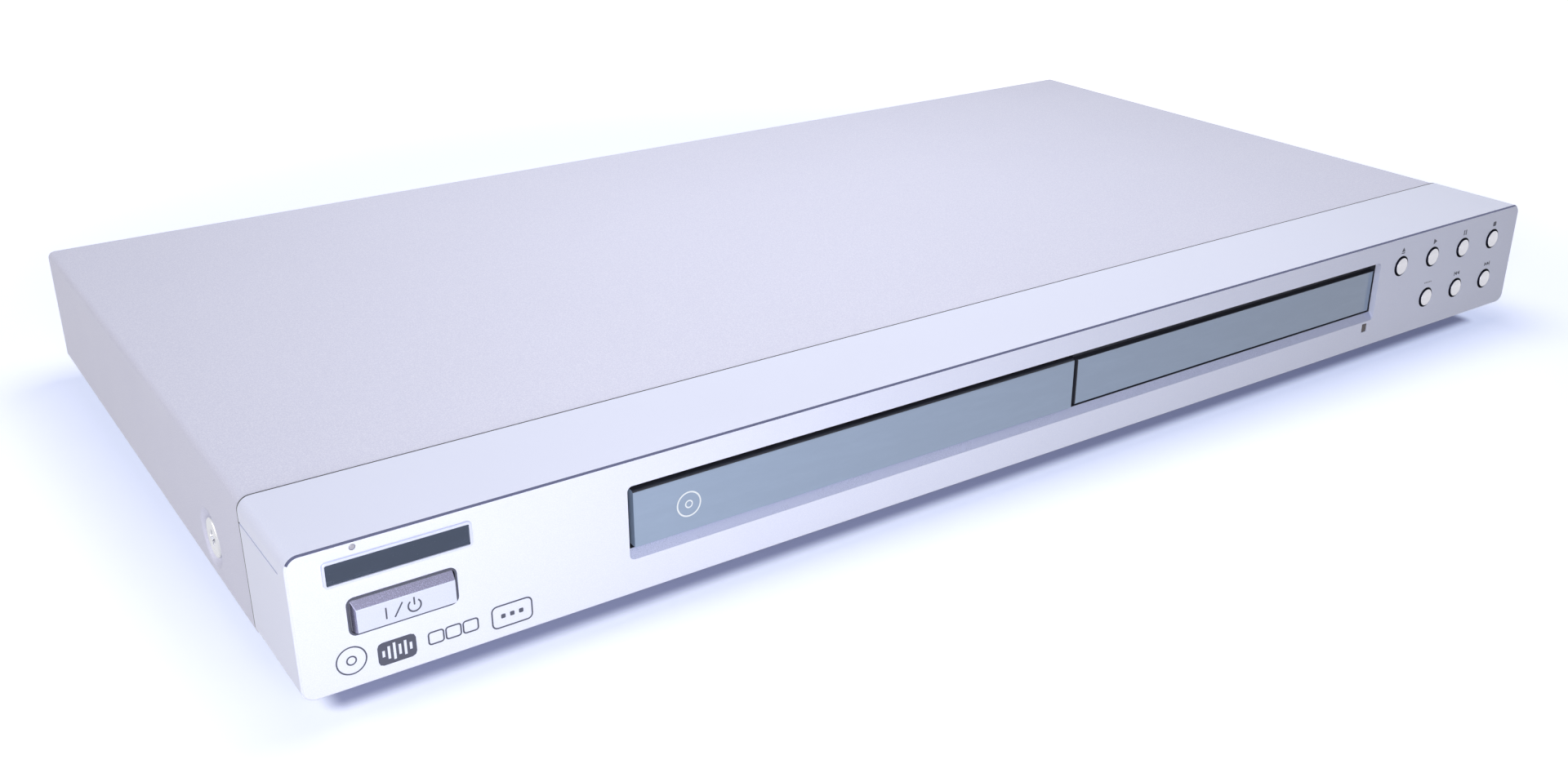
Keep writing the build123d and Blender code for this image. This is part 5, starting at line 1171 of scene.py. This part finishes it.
def corner_marks(sizes):
    """Four plain generic marks at the panel's bottom left: a disc, sound bars, film frames and dots."""
    z = PANEL_LOW[2] + 6.0 * MM
    disc_x, bars_x, film_x, dots_x = -203.7 * MM, -193.5 * MM, -180.4 * MM, -166.2 * MM
    first_bar_x, bar_step, film_step, dot_step = -196.6, 1.25, 4.1 * MM, 2.2 * MM
    disc_z, dots_z = z + 1.0 * MM, z - 0.3 * MM
    marks = [ink_ring(sizes, FACE, disc_x, disc_z, radius * MM, LINE) for radius in (3.5, 1.2)]
    box = ink_bar(sizes, FACE, bars_x, z, 8.8 * MM, 5.8 * MM)
    for n, tall in enumerate((1.6, 3.2, 4.2, 2.6, 3.6, 1.8)):
        reach = Vector((0.3 * MM, 1 * MM, tall / 2 * MM))
        middle = Vector(((first_bar_x + n * bar_step) * MM, FACE, z))
        cut(box, block("bar", middle - reach, middle + reach))
    marks.append(box)
    marks += [ink_frame(sizes, film_x + n * film_step, z, 3.9 * MM, 3.4 * MM) for n in (-1, 0, 1)]
    marks.append(ink_frame(sizes, dots_x, dots_z, 10.2 * MM, 6.0 * MM))
    marks += [ink_bar(sizes, FACE, dots_x + n * dot_step, dots_z, 1.1 * MM, 1.1 * MM) for n in (-1, 0, 1)]
    return marks


class PLAYER_OT_printing(bpy.types.Operator):
    """Prints the standard symbols and the plain marks"""
    bl_idname = "player.printing"
    bl_label = "Printing"

    def execute(self, context):
        sizes = context.scene.player_sizes
        marks = join("face_printing", transport_marks(sizes) + corner_marks(sizes))
        hand_over(marks, "case", "dark_ink", slot="black_plastic")
        low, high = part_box("tray_door")
        x, z = low[0] + 15 * MM, (low[2] + high[2]) / 2 - 0.3 * MM
        marks = join("door_printing", [
            ink_ring(sizes, low[1], x, z, 3.4 * MM, 0.4 * MM),
            ink_ring(sizes, low[1], x, z, 1.1 * MM, LINE),
        ])
        hand_over(marks, "tray", "pale_ink", slot="white_plastic")
        return {"FINISHED"}


# --- Cover ---
def near_dish(edge, sizes):
    """Whether an edge lies on a dished seat's rim or floor."""
    centre = Vector((FACE + sizes.dish_back, sizes.dish_height))
    away = (Vector(middle_of(edge).yz) - centre).length
    at_side = abs(middle_of(edge).x) > COVER_HIGH[0] - 3 * MM
    return at_side and away < sizes.dish_rim + 0.2 * MM


class PLAYER_OT_top_cover(bpy.types.Operator):
    """Models the folded steel cover with its dished screw seats"""
    bl_idname = "player.top_cover"
    bl_label = "Top cover"

    def execute(self, context):
        sizes = context.scene.player_sizes
        side_x, top = COVER_HIGH[0], COVER_HIGH[2]
        low = (COVER_LOW[0], COVER_LOW[1] + sizes.seam_extra, COVER_LOW[2])
        cover = block("cover_shell", low, COVER_HIGH)
        round_corners(cover, 1, sizes.cover_bend, 6, lambda p: p.z > 30 * MM)
        seat_y, seat_z = FACE + sizes.dish_back, sizes.dish_height
        for side in (-1, 1):
            place = (side * (side_x - sizes.dish_depth / 2), seat_y, seat_z)
            left_end, right_end = (sizes.dish_floor, sizes.dish_rim)[::side]
            cut(cover, rod("seat", place, left_end, sizes.dish_depth, "X", 64, right_end))
        pick(cover, "FACE", lambda f: abs(f.normal.y) > 0.99 or f.normal.z < -0.99)
        bpy.ops.mesh.delete(type="FACE")

        def on_dish(edge):
            return len(edge.link_faces) == 2 and edge.calc_face_angle() > 0.5 and near_dish(edge, sizes)

        pick(cover, "EDGE", on_dish)
        bevel(0.5 * MM, 3)
        rest()
        sheet = cover.modifiers.new("sheet", "SOLIDIFY")
        sheet.thickness = sizes.cover_sheet
        sheet.offset = -1.0
        sheet.use_even_offset = True
        apply(cover, "sheet")
        lip_reach, lip_height, overlap = side_x - 3.8 * MM, 7 * MM, 0.2 * MM
        low = (-lip_reach, REAR - sizes.cover_sheet, top - lip_height)
        lip = block("lip", low, (lip_reach, REAR, top - sizes.cover_sheet + overlap))
        round_corners(lip, 1, 1.0 * MM, 3, lambda p: p.z < top - lip_height / 2)
        cover = join("cover_shell", [cover, lip])
        soften(cover, 0.12 * MM)
        hand_over(cover, "case", "cover_steel", "top_cover")
        return {"FINISHED"}


# --- Screws ---
def cross_cut(piece, middle, axis, wide, long, deep):
    """Cuts a cross recess into a screw's head, about an axis."""
    for turned in (False, True):
        sides = [long, wide] if turned else [wide, long]
        sides.insert({"X": 0, "Y": 1, "Z": 2}[axis], 2 * deep)
        low = [m - s / 2 for m, s in zip(middle, sides)]
        high = [m + s / 2 for m, s in zip(middle, sides)]
        cut(piece, block("cross", low, high))


def make_screw(top, axis, out, head, shank, cross):
    """A screw's head and shank along an axis, from the middle of its head's top, facing out (1 or -1)."""
    index = "XYZ".index(axis)

    def below(depth):
        place = list(top)
        place[index] -= out * depth
        return place

    radius, thick, rounding, steps, sides = head
    cap = rod("head", below(thick / 2), radius, thick, axis, sides)
    bevel_rim(cap, index, top[index], rounding, steps)
    cross_cut(cap, top, axis, *cross)
    radius, long, depth, sides = shank
    return [cap, rod("shank", below(depth), radius, long, axis, sides)]


class PLAYER_OT_screws(bpy.types.Operator):
    """Models the side screws and the two kinds of screws at the back"""
    bl_idname = "player.screws"
    bl_label = "Screws"

    def execute(self, context):
        sizes = context.scene.player_sizes
        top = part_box("cover_side_screws")[1][0]
        y, z = FACE + sizes.dish_back, sizes.dish_height
        screws = []
        for side in (-1, 1):
            screws += make_screw(
                (side * top, y, z), "X", side,
                head=(sizes.screw_head, 1.3 * MM, 0.5 * MM, 3, 64), shank=(1.95 * MM, 7.6 * MM, 5 * MM, 24),
                cross=(1.1 * MM, 4.6 * MM, 0.9 * MM),
            )
        screws = join("side_screw_pair", screws)
        soften(screws, 0.08 * MM)
        hand_over(screws, "case", "screw_steel", "cover_side_screws")
        for node, name, seat, finish_name in (
            ("cover_rear_screws", "rear_screw_set", REAR, "screw_steel"),
            ("rear_panel_screws", "socket_screw_set", REAR - sizes.cover_sheet, "black_screw"),
        ):
            screws = []
            for x, _, z in middles(node):
                screws += make_screw(
                    (x, seat + 2 * MM, z), "Y", 1,
                    head=(3 * MM, 2 * MM, 1.1 * MM, 4, 40), shank=(1.5 * MM, 6.4 * MM, 5 * MM, 20),
                    cross=(1.0 * MM, 3.8 * MM, 0.9 * MM),
                )
            screws = join(name, screws)
            soften(screws, 0.06 * MM)
            hand_over(screws, "case", finish_name, node)
        return {"FINISHED"}


# --- Feet ---
class PLAYER_OT_feet(bpy.types.Operator):
    """Models one foot, copies it to its four places and puts a screw in each"""
    bl_idname = "player.feet"
    bl_label = "Feet"

    def execute(self, context):
        places = [(x, y) for x, y, _ in middles("feet")]
        x, y = places[0]
        radius, tall, sole_rim, slope = 13 * MM, 8 * MM, 2 * MM, 5 * MM
        foot = rod("foot", (x, y, tall / 2), radius, tall, "Z", 64)
        pick(foot, "FACE", lambda f: f.normal.z < -0.99)
        bpy.ops.mesh.inset(thickness=sole_rim)
        rest()
        pick(foot, "VERT", lambda v: at(v.co.z, 0) and math.dist(v.co.xy, (x, y)) > radius - sole_rim / 2)
        bpy.ops.transform.translate(value=(0, 0, slope))
        pick(foot, "FACE", lambda f: f.normal.z < -0.99 and at(f.calc_center_median().z, 0))
        bpy.ops.mesh.inset(thickness=6.4 * MM)
        extrude((0, 0, 2.2 * MM))
        soften(foot, 0.4 * MM, 3, 25)
        pieces = []
        for n, (foot_x, foot_y) in enumerate(places):
            pieces.append(copy_to(foot, f"foot_{n}", (foot_x - x, foot_y - y, 0)))
        bpy.data.objects.remove(foot, do_unlink=True)
        hand_over(join("moulded_feet", pieces), "case", "rubber", "feet")
        screws = []
        for foot_x, foot_y in places:
            screws += make_screw(
                (foot_x, foot_y, 0.5 * MM), "Z", -1,
                head=(3.4 * MM, 1.7 * MM, 0.9 * MM, 3, 40), shank=(1.5 * MM, 9.6 * MM, 6.5 * MM, 20),
                cross=(0.9 * MM, 3.6 * MM, 0.8 * MM),
            )
        screws = join("foot_screw_set", screws)
        soften(screws, 0.06 * MM)
        hand_over(screws, "case", "screw_steel", "foot_screws")
        return {"FINISHED"}


# --- Sockets ---
def make_phono_socket(x, z, ring_face, end):
    """A coloured ring with a core, and the metal barrel round the core."""
    def tube(name, start, stop, radius):
        return rod(name, (x, (start + stop) / 2, z), radius, stop - start, "Y", 48)

    ring = tube("ring", ring_face - 2.7 * MM, ring_face, 5.2 * MM)
    bevel_rim(ring, 1, ring_face, 0.35 * MM, 3)
    core = tube("core", ring_face, end - 0.4 * MM, 3.68 * MM)
    pick(core, "FACE", lambda f: f.normal.y > 0.99)
    bpy.ops.mesh.inset(thickness=2.08 * MM)
    extrude((0, -5.6 * MM, 0))
    rest()
    barrel = tube("barrel", ring_face, end, 4.15 * MM)
    cut(barrel, tube("bore", ring_face - OVERCUT, end + OVERCUT, 3.7 * MM))
    return join("ring", [ring, core]), barrel


class PLAYER_OT_sockets(bpy.types.Operator):
    """Models the phono sockets with coloured rings and metal barrels"""
    bl_idname = "player.sockets"
    bl_label = "Sockets"

    def execute(self, context):
        low, high = islands("jack_barrels")[0]
        tones = ("white", "yellow", "red", "green", "white", "blue", "orange")
        barrels = []
        for n, ((x, _, z), tone) in enumerate(zip(middles("jack_barrels"), tones)):
            ring, barrel = make_phono_socket(x, z, low.y, high.y)
            soften(ring, 0.06 * MM)
            ring.name = f"socket_ring_{n + 1}"
            hand_over(ring, "case", "socket_" + tone, slot="white_plastic")
            barrels.append(barrel)
        barrels = join("socket_barrels", barrels)
        soften(barrels, 0.08 * MM)
        hand_over(barrels, "case", "nickel", "jack_barrels")
        return {"FINISHED"}


# --- Disc tray ---
class PLAYER_OT_disc_tray(bpy.types.Operator):
    """Finishes the disc tray with broken edges"""
    bl_idname = "player.disc_tray"
    bl_label = "Disc tray"

    def execute(self, context):
        tray = merged_copy("disc_tray", "moulded_tray")
        soften(tray, 0.12 * MM, 2, 40)
        hand_over(tray, "tray", "tray_plastic", "disc_tray")
        return {"FINISHED"}


# --- Stage ---
def seen_rays(board):
    """Two values: 1 for the camera's rays, and 1 for those mirrored or through glass."""
    rays = board.node("LightPath").outputs
    return rays["Is Camera Ray"], board.math("MAXIMUM", rays["Is Glossy Ray"], rays["Is Transmission Ray"])


def make_floor_finish(tones):
    """White to the camera, with the player's shadow from the lamps and a painted shadow right under it,
    where the floor's light and glow turn dark.
    """
    footprint, painted_shadow_edge = (0.204, 0.111, 0.0), 6 * MM
    glow_start, glow_end = 0.25, 0.55
    material = bpy.data.materials.new("pale_floor")
    material.use_nodes = True
    board = Board(material.node_tree)
    place = board.node("TexCoord").outputs["Object"]
    tone = tuple(tones.floor)
    drift = board.ramp(board.noise(place, 1.3, 2.0), 0.3, 0.7)
    plain = board.mix(drift, (*tone, 1.0), (*scaled(tone, 0.985), 1.0))
    straight, mirrored = seen_rays(board)
    unseen = board.mix(mirrored, plain, BLACK)
    # Near the player the glow is dimmer and bluer than far off, so shadows there show blue: a painted shadow
    # tint.
    away = board.vector("LENGTH", i0=place)
    far = board.ramp(away, glow_start, glow_end, interpolation_type="SMOOTHSTEP")
    glow = board.mix(far, (*tones.floor_glow, 1.0), WHITE)
    # Painted shadow: the floor turns dark under the player's footprint and fades out just beside it.
    beyond = board.vector("SUBTRACT", i0=board.vector("ABSOLUTE", i0=place), i1=footprint)
    gap = board.vector("LENGTH", i0=board.vector("MAXIMUM", i0=beyond, i1=(0.0, 0.0, 0.0)))
    outside_painted_shadow = board.ramp(gap, 0.0, painted_shadow_edge, interpolation_type="SMOOTHSTEP")
    glow = board.mix(outside_painted_shadow, (*tones.painted_shadow_glow, 1.0), glow)
    bare = board.mix(outside_painted_shadow, (*tones.painted_shadow_lit, 1.0), (*tones.floor_lit, 1.0))
    board.feed(
        material.node_tree.nodes["Principled BSDF"], Roughness=0.6, Specular_IOR_Level=0.1,
        Base_Color=board.mix(straight, unseen, bare), Emission_Color=board.mix(straight, WHITE, glow),
        Emission_Strength=board.math("MAXIMUM", straight, mirrored),
    )
    return material


class PLAYER_OT_stage(bpy.types.Operator):
    """Sets the pale floor, the soft lamps, the world and the camera"""
    bl_idname = "player.stage"
    bl_label = "Stage"

    def execute(self, context):
        rest()
        bpy.ops.mesh.primitive_plane_add(size=8.0, location=(0, 0, 0))
        floor = settle(bpy.context.object, "pale_floor")
        floor.data.materials.append(make_floor_finish(context.scene.player_colours))
        self.set_world(context)
        self.add_lamps()
        self.add_camera(context)
        context.scene.view_settings.view_transform = "Standard"
        return {"FINISHED"}

    def set_world(self, context):
        world = bpy.data.worlds.new("studio")
        context.scene.world = world
        world.use_nodes = True
        board = Board(world.node_tree)
        for made in list(world.node_tree.nodes):
            world.node_tree.nodes.remove(made)
        seen = board.math("MAXIMUM", *seen_rays(board))
        dim = board.feed(board.node("Background"), Color=(0.96, 0.96, 1.0, 1.0), Strength=0.16)
        shown = board.feed(board.node("Background"), Color=WHITE, Strength=1.0)
        blend = board.node("MixShader")
        board.feed(blend, i0=seen, i1=dim.outputs[0], i2=shown.outputs[0])
        board.wire(blend.outputs[0], board.node("OutputWorld").inputs[0])

    def add_lamps(self):
        lamps = (
            ("front", (-0.28, -0.44, 0.13), (-0.06, -0.12, 0.03), 0.20, 1.42, (1.0, 0.99, 1.0)),
            ("overhead", (0.04, 0.03, 0.47), (0.02, 0.01, 0.04), 0.34, 1.8, (0.98, 0.98, 1.0)),
            ("left", (-1.0, 0.25, 0.30), (-0.2, 0.0, 0.02), 0.6, 2.8, (1.0, 0.96, 0.95)),
        )
        for name, place, target, size, power, tone in lamps:
            rest()
            bpy.ops.object.light_add(type="AREA", location=place)
            lamp = bpy.context.object
            lamp.name = name
            lamp.data.shape = "SQUARE"
            lamp.data.size = size
            lamp.data.energy = power
            lamp.data.color = tone
            aim = Vector(target) - Vector(place)
            lamp.rotation_euler = aim.to_track_quat("-Z", "Y").to_euler()

    def add_camera(self, context):
        rest()
        bpy.ops.object.camera_add(location=(-0.28648, -0.40530, 0.20469))
        camera = bpy.context.object
        camera.name = "photograph_view"
        camera.rotation_euler = [math.radians(angle) for angle in (66.02, -0.025, -34.262)]
        camera.data.sensor_fit = "HORIZONTAL"
        camera.data.sensor_width = 36.0
        camera.data.lens = 35.993
        camera.data.clip_start = 0.01
        context.scene.camera = camera


STEPS = (
    PLAYER_OT_finishes,
    PLAYER_OT_stage,
    PLAYER_OT_cad_finishes,
    PLAYER_OT_front_panel,
    PLAYER_OT_tray_door,
    PLAYER_OT_display_window,
    PLAYER_OT_face_pieces,
    PLAYER_OT_round_buttons,
    PLAYER_OT_power_button,
    PLAYER_OT_printing,
    PLAYER_OT_top_cover,
    PLAYER_OT_screws,
    PLAYER_OT_feet,
    PLAYER_OT_sockets,
    PLAYER_OT_disc_tray,
)


class PLAYER_PT_pieces(bpy.types.Panel):
    """Lists the steps that build the disc player"""
    bl_idname = "PLAYER_PT_pieces"
    bl_label = "Disc player"
    bl_space_type = "VIEW_3D"
    bl_region_type = "UI"
    bl_category = "Disc player"

    def draw(self, context):
        for step in STEPS:
            self.layout.operator(step.bl_idname)


CLASSES = (PlayerSizes, PlayerColours, *STEPS, PLAYER_PT_pieces)


def register():
    for item in CLASSES:
        bpy.utils.register_class(item)
    bpy.types.Scene.player_sizes = PointerProperty(type=PlayerSizes)
    bpy.types.Scene.player_colours = PointerProperty(type=PlayerColours)


def unregister():
    del bpy.types.Scene.player_colours
    del bpy.types.Scene.player_sizes
    for item in reversed(CLASSES):
        bpy.utils.unregister_class(item)


def main():
    register()
    for step in STEPS:
        group, name = step.bl_idname.split(".")
        getattr(getattr(bpy.ops, group), name)()
    rest()
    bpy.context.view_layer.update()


if __name__ == "__main__":
    main()
